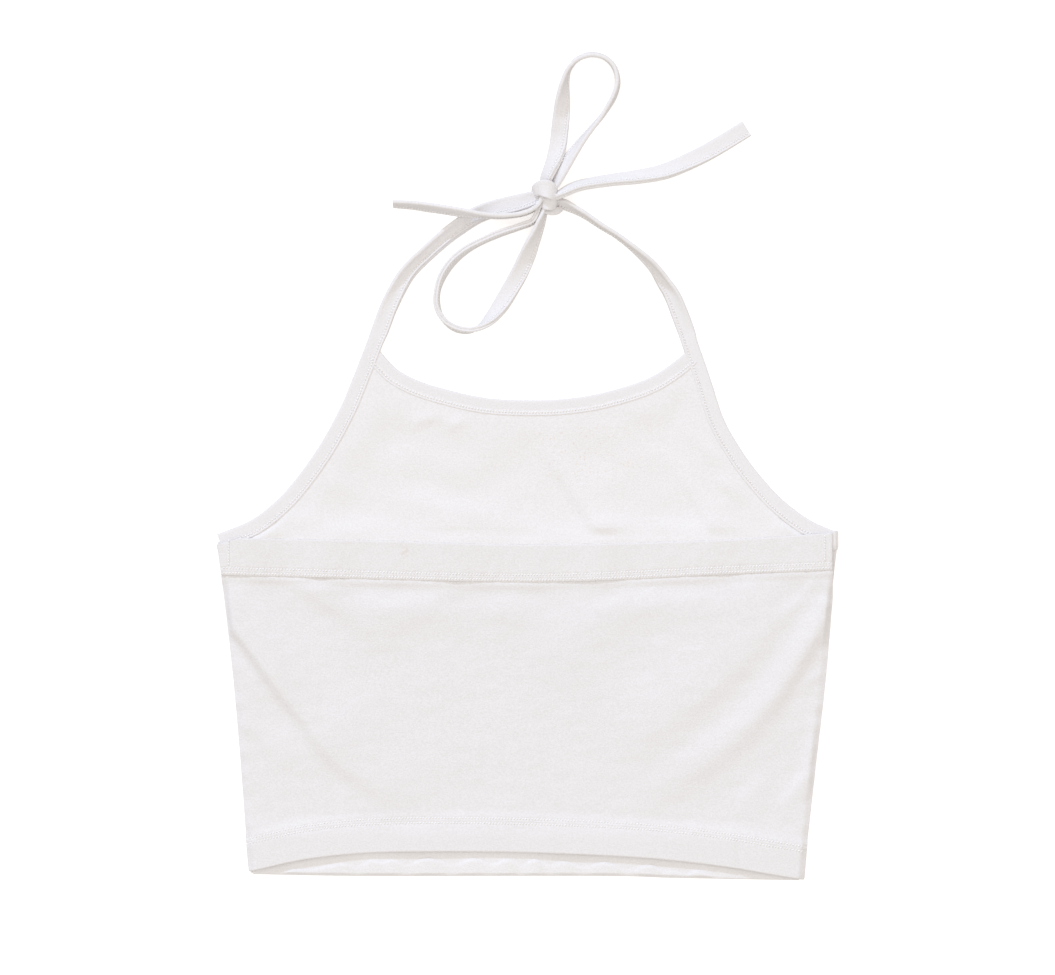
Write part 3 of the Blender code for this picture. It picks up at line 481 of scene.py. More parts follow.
def grid_faces(rows, columns, closed=False):
    """Quads of a grid; a closed one joins its last column to its first."""
    index = np.arange(rows * columns).reshape(rows, columns)
    after = np.roll(index, -1, axis=1) if closed else index[:, 1:]
    here = index if closed else index[:, :-1]
    return np.stack([here[:-1], after[:-1], after[1:], here[1:]], axis=-1).reshape(-1, 4)


RIM_TURNS = (-58.0, -20.0, 20.0, 58.0)


def make_sheet(name, x, y, low, thick, material, bulge=0.42):
    """A closed wall of cloth over a grid of points, its rim rounded outwards."""
    rows, columns = x.shape
    thick = np.broadcast_to(thick, x.shape)
    bottom = np.stack([x, y, low], axis=-1).reshape(-1, 3)
    top = np.stack([x, y, low + thick], axis=-1).reshape(-1, 3)
    index = np.arange(rows * columns).reshape(rows, columns)
    border = np.r_[index[0], index[1:, -1], index[-1, -2::-1], index[-2:0:-1, 0]]
    middle = (bottom[border] + top[border]) / 2
    along = np.roll(middle, -1, axis=0) - np.roll(middle, 1, axis=0)
    outward = np.stack([along[:, 1], -along[:, 0], np.zeros(len(border))], axis=1)
    outward /= np.linalg.norm(outward, axis=1)[:, None]
    half = (top[border] - bottom[border]) / 2
    reach = bulge * 2 * half[:, 2:]
    loops = [bottom[border]]
    for turn in RIM_TURNS:
        lean = math.radians(turn)
        loops.append(middle + outward * reach * math.cos(lean) + half * math.sin(lean))
    loops.append(top[border])
    count = rows * columns
    size = len(border)
    cells = grid_faces(rows, columns)
    faces = cells[:, ::-1].tolist() + (cells + count).tolist()
    rims = [np.arange(size) + 2 * count + k * size for k in range(len(RIM_TURNS))]
    numbers = [border] + rims + [border + count]
    for lower, upper in zip(numbers, numbers[1:]):
        faces += np.stack([lower, np.roll(lower, -1), np.roll(upper, -1), upper], axis=1).tolist()
    points = np.vstack([bottom, top] + loops[1:-1])
    return add_mesh(name, points, faces, material)


def strip_frames(rows, step):
    """Frames along a strip, from rows of x, y, tilt, curl, low, width and thickness."""
    path = smooth(rows, step)
    x, y, tilt, curl, low, width, thick = path.T
    ahead = headings(path)
    frames = {
        "x": x, "y": y, "ahead": ahead, "lean": np.radians(tilt), "turn": np.maximum(np.radians(curl), 1e-4),
        "width": width, "thick": thick, "right": np.zeros(len(x)), "up": np.zeros(len(x)), "run": runs(path),
    }
    shape = np.array(STRIP_OUTLINE)
    ring = place(frames, shape[:, 0][None, :] * width[:, None] / 2, shape[:, 1][None, :] * thick[:, None] / 2)
    sideways = (ring[..., 0] - x[:, None]) * ahead[:, 1:] - (ring[..., 1] - y[:, None]) * ahead[:, :1]
    frames["right"] = -(sideways.max(1) + sideways.min(1)) / 2
    frames["up"] = low - ring[..., 2].min(1)
    return frames


def place(frames, side, lift):
    """Points of a strip at each frame: this far to the right of its run, and up off its middle face."""
    radius = (frames["width"] / frames["turn"])[:, None]
    angle = side / radius
    flat = (radius - lift) * np.sin(angle)
    high = radius - (radius - lift) * np.cos(angle)
    lean = frames["lean"][:, None]
    right = flat * np.cos(lean) + high * np.sin(lean) + frames["right"][:, None]
    up = -flat * np.sin(lean) + high * np.cos(lean) + frames["up"][:, None]
    ahead = frames["ahead"]
    x = frames["x"][:, None] + right * ahead[:, 1:]
    y = frames["y"][:, None] - right * ahead[:, :1]
    return np.stack([x, y, up], axis=-1)


def make_strip(name, frames, material, mirrored=False):
    """A closed folded strip through its frames; mirrored puts its stitched edge on the left of its run."""
    shape = np.array(STRIP_OUTLINE)
    if mirrored:
        shape = shape[::-1] * (-1, 1)
    side = shape[:, 0][None, :] * frames["width"][:, None] / 2
    lift = shape[:, 1][None, :] * frames["thick"][:, None] / 2
    rings = place(frames, side, lift)
    rings[..., 2] = np.maximum(rings[..., 2], 0.0)  # flat where it rests
    count, size = side.shape
    faces = grid_faces(count, size, closed=True).tolist()
    faces += [list(range(size)), list(range((count - 1) * size, count * size))[::-1]]
    uv = np.stack([np.broadcast_to(frames["run"][:, None], side.shape), side], axis=-1).reshape(-1, 2)
    return add_mesh(name, rings.reshape(-1, 3), faces, material, uv=uv)


def frames_at(frames, runs_wanted):
    """The strip's frames at other distances along its run."""
    picked = {}
    for key, value in frames.items():
        columns = value if value.ndim == 2 else value[:, None]
        found = np.stack([np.interp(runs_wanted, frames["run"], column) for column in columns.T], axis=1)
        picked[key] = found if value.ndim == 2 else found[:, 0]
    return picked


THREAD_RINGS = ((-1.0, 0.35, -0.5), (-0.66, 0.9, 0.1), (0.0, 1.0, 0.35), (0.66, 0.9, 0.1), (1.0, 0.35, -0.5))
THREAD_SIDES = 6


def make_threads(name, rows, material):
    """Stitches as short plump threads with sunken ends, joined in one mesh.

    Each row has the stitches' middles, and their directions along the row and out of the cloth.
    """
    middle, along, up = (np.vstack(part) for part in zip(*rows))
    along = along / np.linalg.norm(along, axis=1)[:, None]
    up = up - (up * along).sum(1)[:, None] * along
    up = up / np.linalg.norm(up, axis=1)[:, None]
    slant = math.radians(STITCH_SLANT)
    along = along * math.cos(slant) + np.cross(up, along) * math.sin(slant)
    across = np.cross(along, up)
    rings = []
    for share, plump, lift in THREAD_RINGS:
        centre = middle + along * share * STITCH_LENGTH / 2 + up * lift * THREAD_RADIUS
        for k in range(THREAD_SIDES):
            turn = 2 * math.pi * k / THREAD_SIDES
            rings.append(centre + THREAD_RADIUS * plump * (across * math.cos(turn) + up * math.sin(turn)))
    size = len(THREAD_RINGS) * THREAD_SIDES
    points = np.stack(rings, axis=1).reshape(-1, 3)
    points[:, 2] = np.maximum(points[:, 2], 0.0)  # pressed flat where the piece rests
    one = grid_faces(len(THREAD_RINGS), THREAD_SIDES, closed=True)
    faces = (one[None] + (np.arange(len(middle)) * size)[:, None, None]).reshape(-1, 4).tolist()
    for k in range(len(middle)):
        faces.append(list(range(k * size, k * size + THREAD_SIDES))[::-1])
        faces.append(list(range((k + 1) * size - THREAD_SIDES, (k + 1) * size)))
    return add_mesh(name, points, faces, material)


def sew_strip(name, frames, thread, mirrored=False, start=0.0):
    """A row of stitches along a strip's stitched edge, on both faces, from start to the end of its run."""
    at = np.arange(start + STITCH_PITCH / 2, frames["run"][-1] - STITCH_PITCH / 2, STITCH_PITCH)
    hand = -1 if mirrored else 1
    rows = []
    for face in (1, -1):
        here, back, on = (frames_at(frames, at + step) for step in (0.0, -NEARBY, NEARBY))
        side = hand * (here["width"] / 2 - EDGE_STITCH)[:, None]
        lift = face * (STITCH_LIFT * here["thick"] / 2)[:, None]
        middle = place(here, side, lift)[:, 0]
        along = place(on, side, lift)[:, 0] - place(back, side, lift)[:, 0]
        rows.append((middle, along, place(here, side, lift + face)[:, 0] - middle))
    return [fit_piece(make_threads(f"stitches_{name}", rows, thread), "binding")]


def surface_stitches(name, lines, height, material):
    """Rows of stitches on a panel, along lines of x and y, at the height of its surface."""
    rows = []
    for line in lines:
        count = round(length(line) / STITCH_PITCH)
        at = (np.arange(count) + 0.5) * length(line) / count
        path = np.stack([np.interp(at, runs(line), column) for column in line.T], axis=1)
        ahead = headings(path)
        z = height(path[:, 0], path[:, 1])
        z_on = height(path[:, 0] + NEARBY * ahead[:, 0], path[:, 1] + NEARBY * ahead[:, 1])
        middle = np.column_stack([path, z + SURFACE_STITCH_LIFT])
        along = np.column_stack([ahead, (z_on - z) / NEARBY])
        rows.append((middle, along, np.tile([0.0, 0.0, 1.0], (len(path), 1))))
    return make_threads(name, rows, material)


def neck_corner(edge):
    """y at which a side edge of the front panel meets its neck edge."""
    heights = np.linspace(50.0, 76.0, 521)
    return float(heights[np.abs(neck_cut_y(edge(heights)) - heights).argmin()])


def front_panel_grid():
    """Points of the front panel: level rows up to the band, then rows that bend to the neck's curve."""
    corner_left, corner_right = neck_corner(left_edge), neck_corner(right_edge)
    lowest, bend_from = -251.6, -34.5
    levels = np.r_[np.linspace(lowest, -51.0, 60), np.linspace(-51.0, -38.0, 46)[1:], bend_from]
    ups = np.r_[np.zeros(len(levels)), np.linspace(0, 1, 50)[1:]]
    levels = np.r_[levels, np.full(49, bend_from)]
    columns = 160
    x, y = [], []
    for level, up in zip(levels, ups):
        left = level + up * (corner_left - bend_from)
        right = level + up * (corner_right - bend_from)
        x0, x1 = left_edge(left) + 0.9, right_edge(right) - 0.9
        line_x = np.linspace(x0, x1, columns)
        chord = np.interp(line_x, [x0, x1], [left, right])
        top_chord = np.interp(line_x, [x0, x1], [corner_left, corner_right])
        spread = np.interp(line_x, [x0, x1], [left_edge(corner_left), right_edge(corner_right)])
        hem = 1 - ease((level - lowest) / 43.0)
        x.append(line_x)
        dip = ease(up) ** 1.2 * (top_chord - neck_cut_y(spread))
        y.append(chord - dip + hem * (front_hem_edge(line_x) - FRONT_HEM_LEVEL))
    return np.array(x), np.array(y)


def make_front_panel(cloth):
    x, y = front_panel_grid()
    return make_sheet("jersey_front", x, y, front_low(x, y), CLOTH_THICK, cloth)


def make_front_hem(cloth):
    """The front's turned-up hem inside the garment, which folds round the edge."""
    rises = np.r_[0.1, 0.35, 0.7, 1.2, np.linspace(1.9, HEM_HEIGHT, 26)]
    x = np.tile(np.linspace(-168.6, 166.4, 330), (len(rises), 1))
    rise = np.broadcast_to(rises[:, None], x.shape)
    y = front_hem_edge(x) + rise
    at_fold = 1 - ease(rise / 1.2)
    low = (CLOTH_THICK + 0.05 + hem_ripple(x, rise)) * (1 - at_fold) + 0.1 * at_fold
    thick = 0.95 + 0.9 * at_fold
    return make_sheet("jersey_front_hem", x, y, low, thick, cloth)


HEM_RISES = np.r_[
    0.0, 0.5, 1.2, 2.2, 3.6, 5.2, 7.0, 9.0, 11.0, 13.0, 14.6, 15.6, 16.1, 16.5, 16.8, 17.1, 17.5, 18.0, 18.6,
    19.1, 19.5, 19.8, 20.1, 20.5, 21.0, 21.8, 23.0, 24.4,
]


def back_top(x, y):
    """Height of the back's outer face, with the grooves that its twin stitching pulls in."""
    rise = y - back_hem_edge(x)
    folded = 1 - ease((rise - 19.0) / 6.0)
    thick = CLOTH_THICK + folded * (HEM_THICK - CLOTH_THICK)
    # A small upright crease in the hem.
    crease = 0.5 * bump((x - 129.5) / 1.6) * (1 - ease((rise - 12.0) / 8.0))
    return back_low(x, y) + thick - groove(rise, HEM_STITCH_ROWS) - crease


def make_back_panel(cloth):
    columns = 236
    upper = np.r_[np.linspace(0, 0.93, 84)[1:], np.linspace(0.93, 1.0, 22)[1:]]
    rows = [(rise, 0.0) for rise in HEM_RISES] + [(HEM_RISES[-1], share) for share in upper]
    spot = np.linspace(-1, 1, columns)
    x, y = [], []
    for rise, share in rows:
        line_x = BACK_RIGHT_MOST * spot
        for _ in range(4):
            start = back_hem_edge(line_x) + rise
            line_y = start * (1 - share) + (band_low_edge(line_x) + PANEL_TUCK) * share
            x0 = left_edge(line_y[0]) + 0.1
            x1 = min(right_edge(line_y[-1]) - 0.1, BACK_RIGHT_MOST + 0.6)
            line_x = np.interp(spot, [-1, 1], [x0, x1])
        x.append(line_x)
        y.append(line_y)
    x, y = np.array(x), np.array(y)
    low = back_low(x, y)
    return make_sheet("jersey_back", x, y, low, back_top(x, y) - low, cloth)


def band_frame(x, rise):
    """Height of the band's underside and its thickness: its lower edge laps over the back panel."""
    lap = 1 - ease((rise - BAND_LAP + 1.0) / 1.5)
    low = band_bottom(x) + band_wave(x) + lap * (CLOTH_THICK + 0.25)
    pucker = 0.16 * np.sin(x / 0.95 + 2.2 * np.sin(x / 7.0)) * bump((rise - 2.9) / 2.6)
    soft = 0.12 * unevenness(x, rise, 11.0, 31)
    edge = 0.35 * (1 - ease(rise / 0.9))
    thick = BAND_THICK - lap * (CLOTH_THICK + 0.25) - groove(rise, BAND_STITCH_ROWS) + pucker + soft - edge
    return low, thick


def make_band(cloth):
    """The elastic casing along the top of the back."""
    columns = 330
    inner = np.r_[0.0, 0.5, 0.9, 1.2, 1.5, 1.8, 2.2, 2.9, 3.6, 4.0, 4.4, 4.8, 5.3, 6.2]
    rows = [(start, 0.0) for start in inner]
    rows += [(inner[-1], share) for share in np.linspace(0, 1, 18)[1:]]
    x, y, rise = [], [], []
    for start, share in rows:
        left_rise = start + share * 19.0
        left_end = left_edge(band_low_edge(-189.0) + left_rise) + 0.2
        line_x = np.linspace(left_end, BACK_RIGHT_MOST + 0.2, columns)
        height = band_top(line_x) - band_low_edge(line_x) - 0.6
        line_rise = start * (1 - share) + share * height
        x.append(line_x)
        y.append(band_low_edge(line_x) + line_rise)
        rise.append(line_rise)
    x, y, rise = np.array(x), np.array(y), np.array(rise)
    low, thick = band_frame(x, rise)
    return make_sheet("elastic_band", x, y, low, thick, cloth, bulge=0.12)


def make_side_wrap(cloth):
    """The right armhole binding's end, which wraps the side seam and shows beyond the band."""
    x, y = np.meshgrid(np.linspace(187.3, 190.2, 9), np.linspace(-51.4, -40.6, 20))
    drop = 1.0 * ease((x - 188.6) / 1.6) + 0.6 * ease((-48.5 - y) / 3.0)
    return make_sheet("side_seam_wrap", x, y, front_low_plain(x, y) + 1.1, 2.1 - drop, cloth)


def band_face(x, y):
    low, thick = band_frame(x, y - band_low_edge(x))
    return low + thick


def binding_rows(centre, count, thick=BINDING_THICK):
    """Rows of a flat bound edge along its centre line."""
    points = evenly(centre, count)
    flat = np.zeros(len(points))
    return np.column_stack([points, flat, flat, flat + 0.05, flat + BINDING_WIDTH, flat + thick])


def arm_centre(side):
    """The armhole binding's centre line, from just below the band's top edge up to the strap."""
    centre = beside(ARM_EDGE[side], -BINDING_WIDTH / 2)
    if side == "right":
        centre = centre[::-1]
    return centre[centre[:, 1] > band_top(centre[:, 0]) - 3.5]


def arm_rows(side):
    strap = tie_rows(STRAP_LEFT if side == "left" else STRAP_RIGHT)
    return np.vstack([binding_rows(arm_centre(side), 17), strap])


def tie_rows(rows):
    """A tie's rows with its width, pinched inside the knot, and thickness."""
    rows = np.array(rows, float)
    away = np.hypot(rows[:, 0] - KNOT_MIDDLE[0], rows[:, 1] - KNOT_MIDDLE[1])
    width = STRAP_WIDTH * (1 - KNOT_PINCH * (1 - ease((away - 4.0) / 9.0)))
    return np.column_stack([rows, width, np.full(len(rows), STRAP_THICK)])


def neck_rows():
    """The neck binding's centre line, from under one armhole binding to under the other."""
    centre = beside(NECK_PATH, -BINDING_WIDTH / 2)
    arms = np.vstack([ARM_EDGE["left"], ARM_EDGE["right"]])
    centre = centre[distance_to(arms, centre[:, 0], centre[:, 1]) > BINDING_WIDTH - 4.5]
    return binding_rows(centre, 24, thick=BINDING_THICK - 0.15)


class Tree:
    """The node tree of a material or world, with short ways to add and join its nodes."""

    def __init__(self, owner):
        owner.use_nodes = True
        self.nodes = owner.node_tree.nodes
        self.links = owner.node_tree.links

    def feed(self, socket, value):
        """Join another node's output to a socket, or set its number."""
        if isinstance(value, bpy.types.NodeSocket):
            self.links.new(value, socket)
        else:
            socket.default_value = value

    def fill(self, node, **values):
        """Set a node's properties, or its inputs by name."""
        for key, value in values.items():
            if hasattr(node, key):
                setattr(node, key, value)
            else:
                self.feed(node.inputs[key.replace("_", " ")], value)
        return node

    def add(self, kind, **values):
        return self.fill(self.nodes.new(kind), **values)

    def calc(self, operation, first, second):
        made = self.add("ShaderNodeMath", operation=operation)
        for socket, value in zip(made.inputs, (first, second)):
            self.feed(socket, value)
        return made.outputs["Value"]

    def weighted(self, *pairs):
        """The sum of values, each times its weight."""
        parts = [self.calc("MULTIPLY", value, weight) for value, weight in pairs]
        total = parts[0]
        for part in parts[1:]:
            total = self.calc("ADD", total, part)
        return total

    def map(self, value, **limits):
        return self.add("ShaderNodeMapRange", Value=value, **limits).outputs["Result"]

    def noise(self, place, scale, turn=0.0, detail=2.0):
        """Noise over a place scaled by scale, in cells to the metre."""
        turned = (0, 0, math.radians(turn))
        mapping = self.add("ShaderNodeMapping", Vector=place, Scale=scale, Rotation=turned)
        noise = self.add("ShaderNodeTexNoise", Scale=1.0, Detail=detail, Roughness=0.55)
        self.fill(noise, Vector=mapping.outputs["Vector"])
        return noise.outputs["Fac"]

    def ramp(self, share, *stops):
        """Colour between the stops, each a position and a colour."""
        made = self.add("ShaderNodeValToRGB", Fac=share)
        elements = made.color_ramp.elements
        for element, (position, colour) in zip(elements, (stops[0], stops[-1])):
            element.position = position
            element.color = (*colour, 1)
        for position, colour in stops[1:-1]:
            elements.new(position).color = (*colour, 1)
        return made.outputs["Color"]

    def relief(self, height, strength, distance):
        raised = self.add("ShaderNodeBump", Height=height, Strength=strength, Distance=distance)
        return raised.outputs["Normal"]


def new_material(name):
    material = bpy.data.materials.new(name)
    tree = Tree(material)
    return material, tree, tree.nodes["Principled BSDF"]


def knit_loops(tree, place, wale=0.00085, course=0.0007):
    """The knit's face: upright wales crossed by fine courses."""
    split = tree.add("ShaderNodeSeparateXYZ", Vector=place).outputs
    across = tree.calc("MULTIPLY", split["X"], 2 * math.pi / wale)
    upright = tree.calc("MULTIPLY", split["Y"], 2 * math.pi / course)
    wales = tree.calc("COSINE", across, 0.0)
    shifted = tree.calc("ADD", upright, tree.calc("MULTIPLY", wales, 1.1))
    courses = tree.calc("COSINE", shifted, 0.0)
    return tree.calc("ADD", wales, tree.calc("MULTIPLY", courses, 0.5))


def make_jersey(name, light, dim, on_strip=False, specks=None, stain=None, streak_turn=-8.0):
    """White cotton jersey: fine knit, faint streaks and mottling, and a soft sheen."""
    material, tree, shader = new_material(name)
    if on_strip:
        place = tree.add("ShaderNodeUVMap", uv_map="strip").outputs["UV"]
    else:
        place = tree.add("ShaderNodeTexCoord").outputs["Object"]
    mottle = tree.noise(place, (30, 40, 34), detail=3.0)
    streaks = tree.noise(place, (70, 560, 70), turn=streak_turn, detail=3.0)
    grain = tree.noise(place, (900, 1150, 900), detail=3.0)
    knit = knit_loops(tree, place)

    tone = tree.weighted((mottle, 0.12), (streaks, 0.12), (grain, 0.76))
    colour = tree.ramp(tone, (0.40, dim), (0.60, light))
    for marks in (specks, stain):
        if marks:
            colour = add_marks(tree, place, colour, **marks)
    height = tree.weighted((grain, 2.2), (streaks, 0.35), (knit, 0.10))
    rough = tree.map(grain, To_Min=0.80, To_Max=0.96)
    tree.fill(shader, Base_Color=colour, Normal=tree.relief(height, 0.6, 0.00018), Roughness=rough)
    tree.fill(shader, Sheen_Weight=0.12, Sheen_Roughness=0.45, Specular_IOR_Level=0.25)
    return material


def add_marks(tree, place, colour, centre, reach, cell, size, tint, strength, chance):
    """Faint specks in an oval patch: a dot in some cells of a Voronoi pattern."""
    shift = (-centre[0] / reach[0], -centre[1] / reach[1], 0.0)
    scale = (1 / reach[0], 1 / reach[1], 0.0)
    mapping = tree.add("ShaderNodeMapping", Vector=place, Location=shift, Scale=scale)
    away = tree.add("ShaderNodeVectorMath", operation="LENGTH", Vector=mapping.outputs["Vector"])
    inside = tree.map(away.outputs["Value"], From_Min=1.0, From_Max=0.55)
    cells = tree.add("ShaderNodeTexVoronoi", Vector=place, Scale=1 / cell).outputs
    dot = tree.map(cells["Distance"], From_Min=size / cell, From_Max=0.3 * size / cell)
    split = tree.add("ShaderNodeSeparateColor", Color=cells["Color"])
    share = tree.calc("GREATER_THAN", split.outputs["Red"], 1 - chance)
    for part in (dot, inside, strength):
        share = tree.calc("MULTIPLY", share, part)
    mix = tree.add("ShaderNodeMix", data_type="RGBA", Factor=share)
    tree.feed(mix.inputs[6], colour)
    tree.feed(mix.inputs[7], (*tint, 1))
    return mix.outputs[2]


def make_thread_material():
    """Spun polyester thread: brighter than the jersey, finely ridged."""
    material, tree, shader = new_material("white_thread")
    place = tree.add("ShaderNodeTexCoord").outputs["Object"]
    twist = tree.noise(place, (5200, 5200, 5200), detail=1.0)
    colour = tree.ramp(twist, (0.3, (0.90, 0.89, 0.89)), (0.7, (0.97, 0.96, 0.96)))
    ridges = tree.relief(twist, 0.3, 0.00008)
    tree.fill(shader, Base_Color=colour, Normal=ridges, Roughness=0.6, Sheen_Weight=0.2)
    return material


def sweep(name, rows, material, rounds=16, fullness=0.55):
    """A turn of folded tie over the knot, from rows with the columns of the tables below."""
    path = smooth_in_space(rows)
    along = np.gradient(path[:, :3], axis=0)
    along /= np.linalg.norm(along, axis=1)[:, None]
    across = path[:, 3:6] - (path[:, 3:6] * along).sum(1)[:, None] * along
    across /= np.linalg.norm(across, axis=1)[:, None]
    out = np.cross(across, along)
    turns = 2 * math.pi * np.arange(rounds) / rounds
    u = np.sign(np.cos(turns)) * np.abs(np.cos(turns)) ** fullness
    v = np.sign(np.sin(turns)) * np.abs(np.sin(turns)) ** 0.8
    rings = []
    for centre, side, up, width, thick, crown in zip(path[:, :3], across, out, *path[:, 6:9].T):
        lift = v * thick / 2 + crown * (1 - u * u)
        rings.append(centre + u[:, None] * side * width / 2 + lift[:, None] * up)
    rings = np.array(rings)
    uv = np.stack([np.repeat(runs_in_space(path), rounds), np.tile(u, len(rings)) * STRAP_WIDTH / 2], axis=1)
    faces = grid_faces(len(rings), rounds, closed=True).tolist()
    faces += [list(range(rounds))[::-1], list(range((len(rings) - 1) * rounds, len(rings) * rounds))]
    return add_mesh(name, rings.reshape(-1, 3), faces, material, uv=uv)


def runs_in_space(path):
    return np.r_[0, np.cumsum(np.linalg.norm(np.diff(path[:, :3], axis=0), axis=1))]


def smooth_in_space(rows):
    """As smooth, but evenly spaced along a path that also rises and falls."""
    dense = spline(rows)
    run = runs_in_space(dense)
    at = np.linspace(0, run[-1], max(round(run[-1] / SWEEP_STEP), 4))
    return np.stack([np.interp(at, run, column) for column in dense.T], axis=1)


# Turns of the knot: x, y, z of the middle, direction across the tie, width, thickness and crown.
WRAP_TURN = [
    (3.6, 167.4, 2.2, -0.35, 1, 0.2, 4.8, 2.2, 0.2), (4.4, 168.6, 6.8, -0.35, 1, 0.15, 7.2, 2.2, 0.4),
    (7.6, 169.6, 10.2, -0.16, 1, 0, 9.8, 2.2, 0.8), (11.4, 169.2, 11.2, 0, 1, -0.05, 11, 2.2, 1),
    (14.8, 167.6, 10.2, 0.08, 1, -0.05, 10.4, 2.2, 0.9), (17, 166, 7, 0.1, 1, -0.05, 9, 2.2, 0.6),
    (17.4, 165.2, 2.6, 0.1, 1, -0.05, 7, 2.2, 0.3),
]
TUCK_TURN = [
    (7.4, 161.2, 2.2, 0, 1, 0.3, 4.8, 2, 0.4), (8.4, 160.9, 6, 0.1, 1, 0.2, 6.2, 2, 0.7),
    (10.9, 160.3, 8.5, 0.12, 1, 0.15, 7.6, 2, 0.9), (14.2, 159.9, 8.6, 0.2, 1, 0.15, 7.6, 2, 0.9),
    (16.8, 159.8, 6.4, 0.3, 1, 0.2, 6.2, 2, 0.7), (17.6, 160, 2.6, 0.3, 1, 0.3, 4.6, 2, 0.4),
]
RIM_TURN = [
    (7.9, 160.4, 2.2, 0.6, 0.8, -0.3, 2.8, 1.8, 0.2), (9.2, 157.6, 5, 0.6, 0.8, -0.4, 3.4, 1.9, 0.3),
    (12, 155.9, 6.2, 0.2, 1, -0.4, 4, 1.9, 0.4), (15.4, 155.4, 6, 0, 1, -0.4, 4.2, 1.9, 0.4),
    (18.6, 156.4, 4.6, -0.3, 1, -0.4, 4, 1.9, 0.3), (20.6, 158, 2.4, -0.4, 1, -0.4, 3, 1.8, 0.2),
]


def make_knot_core(name, middle, half, material):
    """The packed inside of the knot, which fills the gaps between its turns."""
    shape = bmesh.new()
    bmesh.ops.create_uvsphere(shape, u_segments=20, v_segments=12, radius=1.0)
    shape.verts.index_update()
    points = np.array(middle) + np.array([vert.co for vert in shape.verts]) * half
    faces = [[vert.index for vert in face.verts] for face in shape.faces]
    shape.free()
    return add_mesh(name, points, faces, material, uv=points[:, :2])


def fit_piece(piece, slot, *nodes):
    """The piece moves with the garment and stands for the CAD nodes. Its slot argument is not used."""
    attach(piece, "root")
    if nodes:
        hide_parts(*nodes)
    return piece


def build_panels(jersey, jersey_back, band_cloth, thread):
    front = fit_piece(make_front_panel(jersey), "jersey", "front_panel")
    front_hem = fit_piece(make_front_hem(jersey), "jersey", "front_hem")
    back = fit_piece(make_back_panel(jersey_back), "jersey", "back_panel")
    band = fit_piece(make_band(band_cloth), "band", "back_band")

    x = np.linspace(-171.5, 169.0, 300)
    hem_lines = []
    for rise in HEM_STITCH_ROWS:
        y = back_hem_edge(x) + rise
        inside = x[(x > left_edge(y) + 1) & (x < right_edge(y) - 1)]
        hem_lines.append(np.column_stack([inside, back_hem_edge(inside) + rise]))
    hem_stitches = fit_piece(surface_stitches("stitches_back_hem", hem_lines, back_top, thread), "jersey")

    side_wrap = fit_piece(make_side_wrap(band_cloth), "band")

    x = np.linspace(-187.4, BACK_RIGHT_MOST - 0.8, 300)
    band_lines = [np.column_stack([x, band_low_edge(x) + rise]) for rise in BAND_STITCH_ROWS]
    for bar_x in (-183.6, 182.1):
        bar_y = np.linspace(float(band_low_edge(bar_x)) + 6.0, float(band_top(bar_x)) - 1.2, 40)
        band_lines.append(np.column_stack([np.full(40, bar_x), bar_y]))
    band_stitches = fit_piece(surface_stitches("stitches_band", band_lines, band_face, thread), "band")

    return front


def build_strips(cloth, thread, front):
    """Bindings, straps and ties, each a folded strip with its row of stitches."""
    on_front = [front.name]
    # Piece, node, stitches, rows, step, mirrored, start of the stitches, flat width, what it rests on.
    strips = [
        ("binding_strap_left", "binding_left", "strap_left", arm_rows("left"),
         STRIP_STEP, False, 4.0, TIE_FLAT, on_front),
        ("binding_strap_right", "binding_right", "strap_right", arm_rows("right"),
         STRIP_STEP, True, 4.0, TIE_FLAT, on_front),
        ("binding_neck", "neck_binding", "neck", neck_rows(), STRIP_STEP, False, 0.0, 0.0100, on_front),
    ]
    ties = (("tie_loop_upper", LOOP_UPPER, False), ("tie_loop_lower", LOOP_LOWER, False),
            ("tie_end_left", TIE_END_LEFT, True), ("tie_end_right", TIE_END_RIGHT, False))
    for node, rows, mirrored in ties:
        strips.append((f"folded_{node}", node, node, tie_rows(rows), TIE_STEP, mirrored, 3.0, TIE_FLAT, []))
    for name, node, sewing, rows, step, mirrored, start, width, rests_on in strips:
        frames = strip_frames(rows, step)
        strip = fit_piece(make_strip(name, frames, cloth, mirrored), "binding", node)
        sewn = sew_strip(sewing, frames, thread, mirrored, start)


def build_knot(cloth):
    """The knot's turns over its packed cores. Each shows only a share of the tie's width on its outside."""
    turns = (("upper", WRAP_TURN, 1.0, ["knot_wrap"]), ("lower", TUCK_TURN, 0.75, ["knot_tuck"]),
             ("rim", RIM_TURN, 0.5, []))
    for name, rows, share, nodes in turns:
        piece = fit_piece(sweep(f"knot_turn_{name}", rows, cloth), "binding", *nodes)
    cores = (("upper", (10.8, 168.4, 5.0), (5.4, 4.4, 4.8)), ("lower", (12.8, 159.2, 4.0), (4.8, 3.6, 3.8)))
    for name, middle, half in cores:
        fit_piece(make_knot_core(f"knot_core_{name}", middle, half, cloth), "binding")


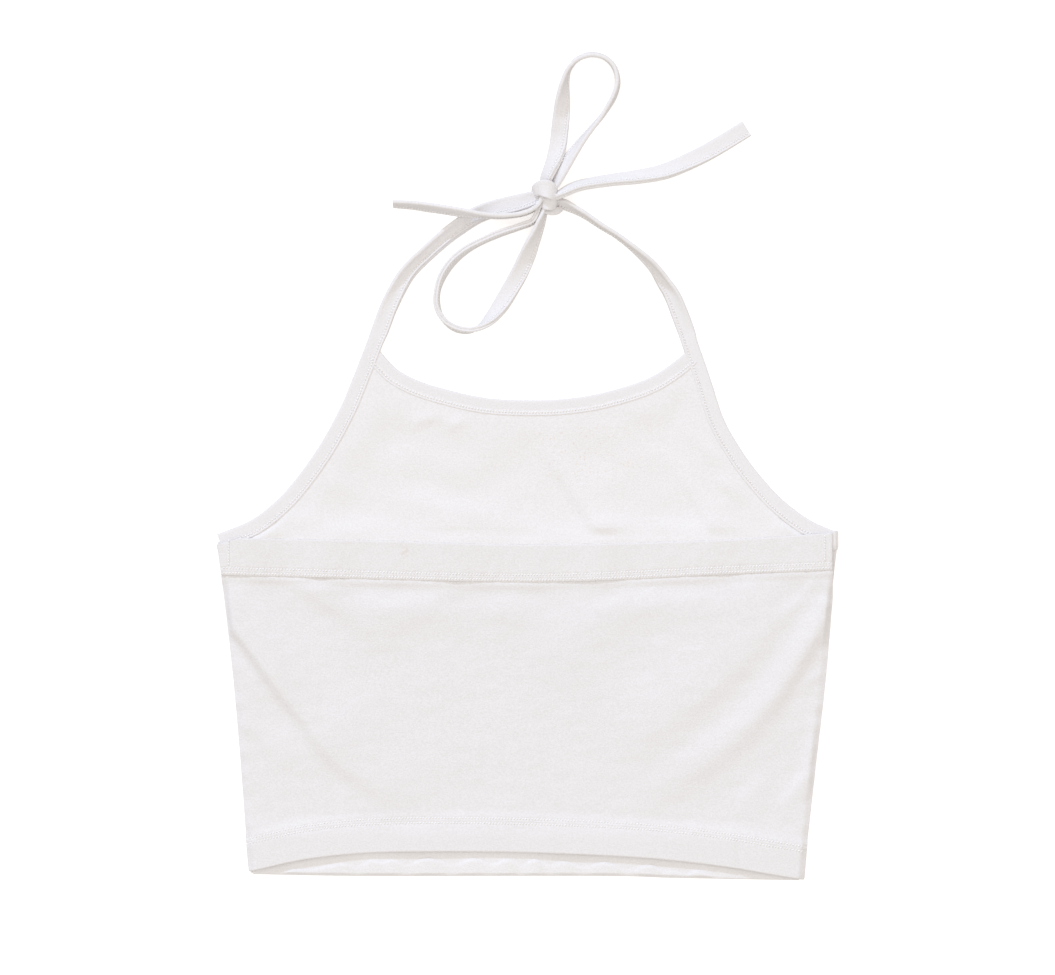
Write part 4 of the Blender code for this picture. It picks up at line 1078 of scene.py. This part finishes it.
def build_stage():
    """A plain white surface under an even, warm surround, with a soft cool key from above the neckline."""
    mesh = bpy.data.meshes.new("floor")
    half = 3.0
    corners = [(-half, -half, 0), (half, -half, 0), (half, half, 0), (-half, half, 0)]
    mesh.from_pydata(corners, [], [(0, 1, 2, 3)])
    floor = add_object("floor", mesh)
    floor.location.z = -0.0004
    floor.visible_diffuse = False  # the surround's lower half lights the undersides in its place
    material, tree, shader = new_material("white_floor")
    tree.fill(shader, Base_Color=(0.85, 0.85, 0.85, 1), Roughness=0.9)
    tree.fill(shader, Emission_Color=(1, 1, 1, 1), Emission_Strength=0.5)
    mesh.materials.append(material)

    world = bpy.data.worlds.new("surround")
    tree = Tree(world)
    direction = tree.add("ShaderNodeTexCoord").outputs["Generated"]
    split = tree.add("ShaderNodeSeparateXYZ", Vector=direction)
    height = tree.map(split.outputs["Z"], From_Min=-1.0, From_Max=1.0)
    stops = ((0.46, SURROUND_BELOW), (0.52, SURROUND_LEVEL), (1.0, SURROUND_ABOVE))
    tree.fill(tree.nodes["Background"], Color=tree.ramp(height, *stops))
    bpy.context.scene.world = world
    key = bpy.data.lights.new("key", "SUN")
    key.energy = KEY_ENERGY
    key.angle = math.radians(KEY_SPREAD)
    key.color = KEY_COLOUR
    lamp = add_object("key", key)
    lamp.rotation_euler = Vector(TOWARDS_KEY).to_track_quat("Z", "Y").to_euler()


def build_camera():
    data = bpy.data.cameras.new("camera")
    data.sensor_width = SENSOR
    data.lens = SENSOR * CAMERA_HEIGHT / VIEW_WIDTH
    camera = add_object("camera", data)
    camera.location = (*VIEW_MIDDLE, CAMERA_HEIGHT)
    bpy.context.scene.camera = camera


build_camera()
build_stage()
bpy.context.scene.view_settings.view_transform = "Standard"
SPECKS = {
    "centre": (0.034, 0.008), "reach": (0.050, 0.024), "cell": 0.0024, "size": 0.0007,
    "tint": (0.78, 0.60, 0.42), "strength": 0.42, "chance": 0.6,
}
STAIN = {
    "centre": (-0.0756, -0.0532), "reach": (0.0028, 0.0040), "cell": 0.0016, "size": 0.0012,
    "tint": (0.70, 0.54, 0.40), "strength": 0.34, "chance": 0.8,
}
jersey_front = make_jersey(
    "jersey_front", (0.888, 0.876, 0.889), (0.838, 0.819, 0.820), specks=SPECKS, streak_turn=4.0)
jersey_back = make_jersey("jersey_back", (0.860, 0.848, 0.862), (0.808, 0.788, 0.790))
band_cloth = make_jersey(
    "jersey_band", (0.856, 0.844, 0.852), (0.804, 0.782, 0.780), stain=STAIN, streak_turn=0.0)
binding_cloth = make_jersey("jersey_binding", (0.872, 0.858, 0.874), (0.826, 0.806, 0.808), on_strip=True)
thread = make_thread_material()
front_piece = build_panels(jersey_front, jersey_back, band_cloth, thread)
build_strips(binding_cloth, thread, front_piece)
build_knot(binding_cloth)
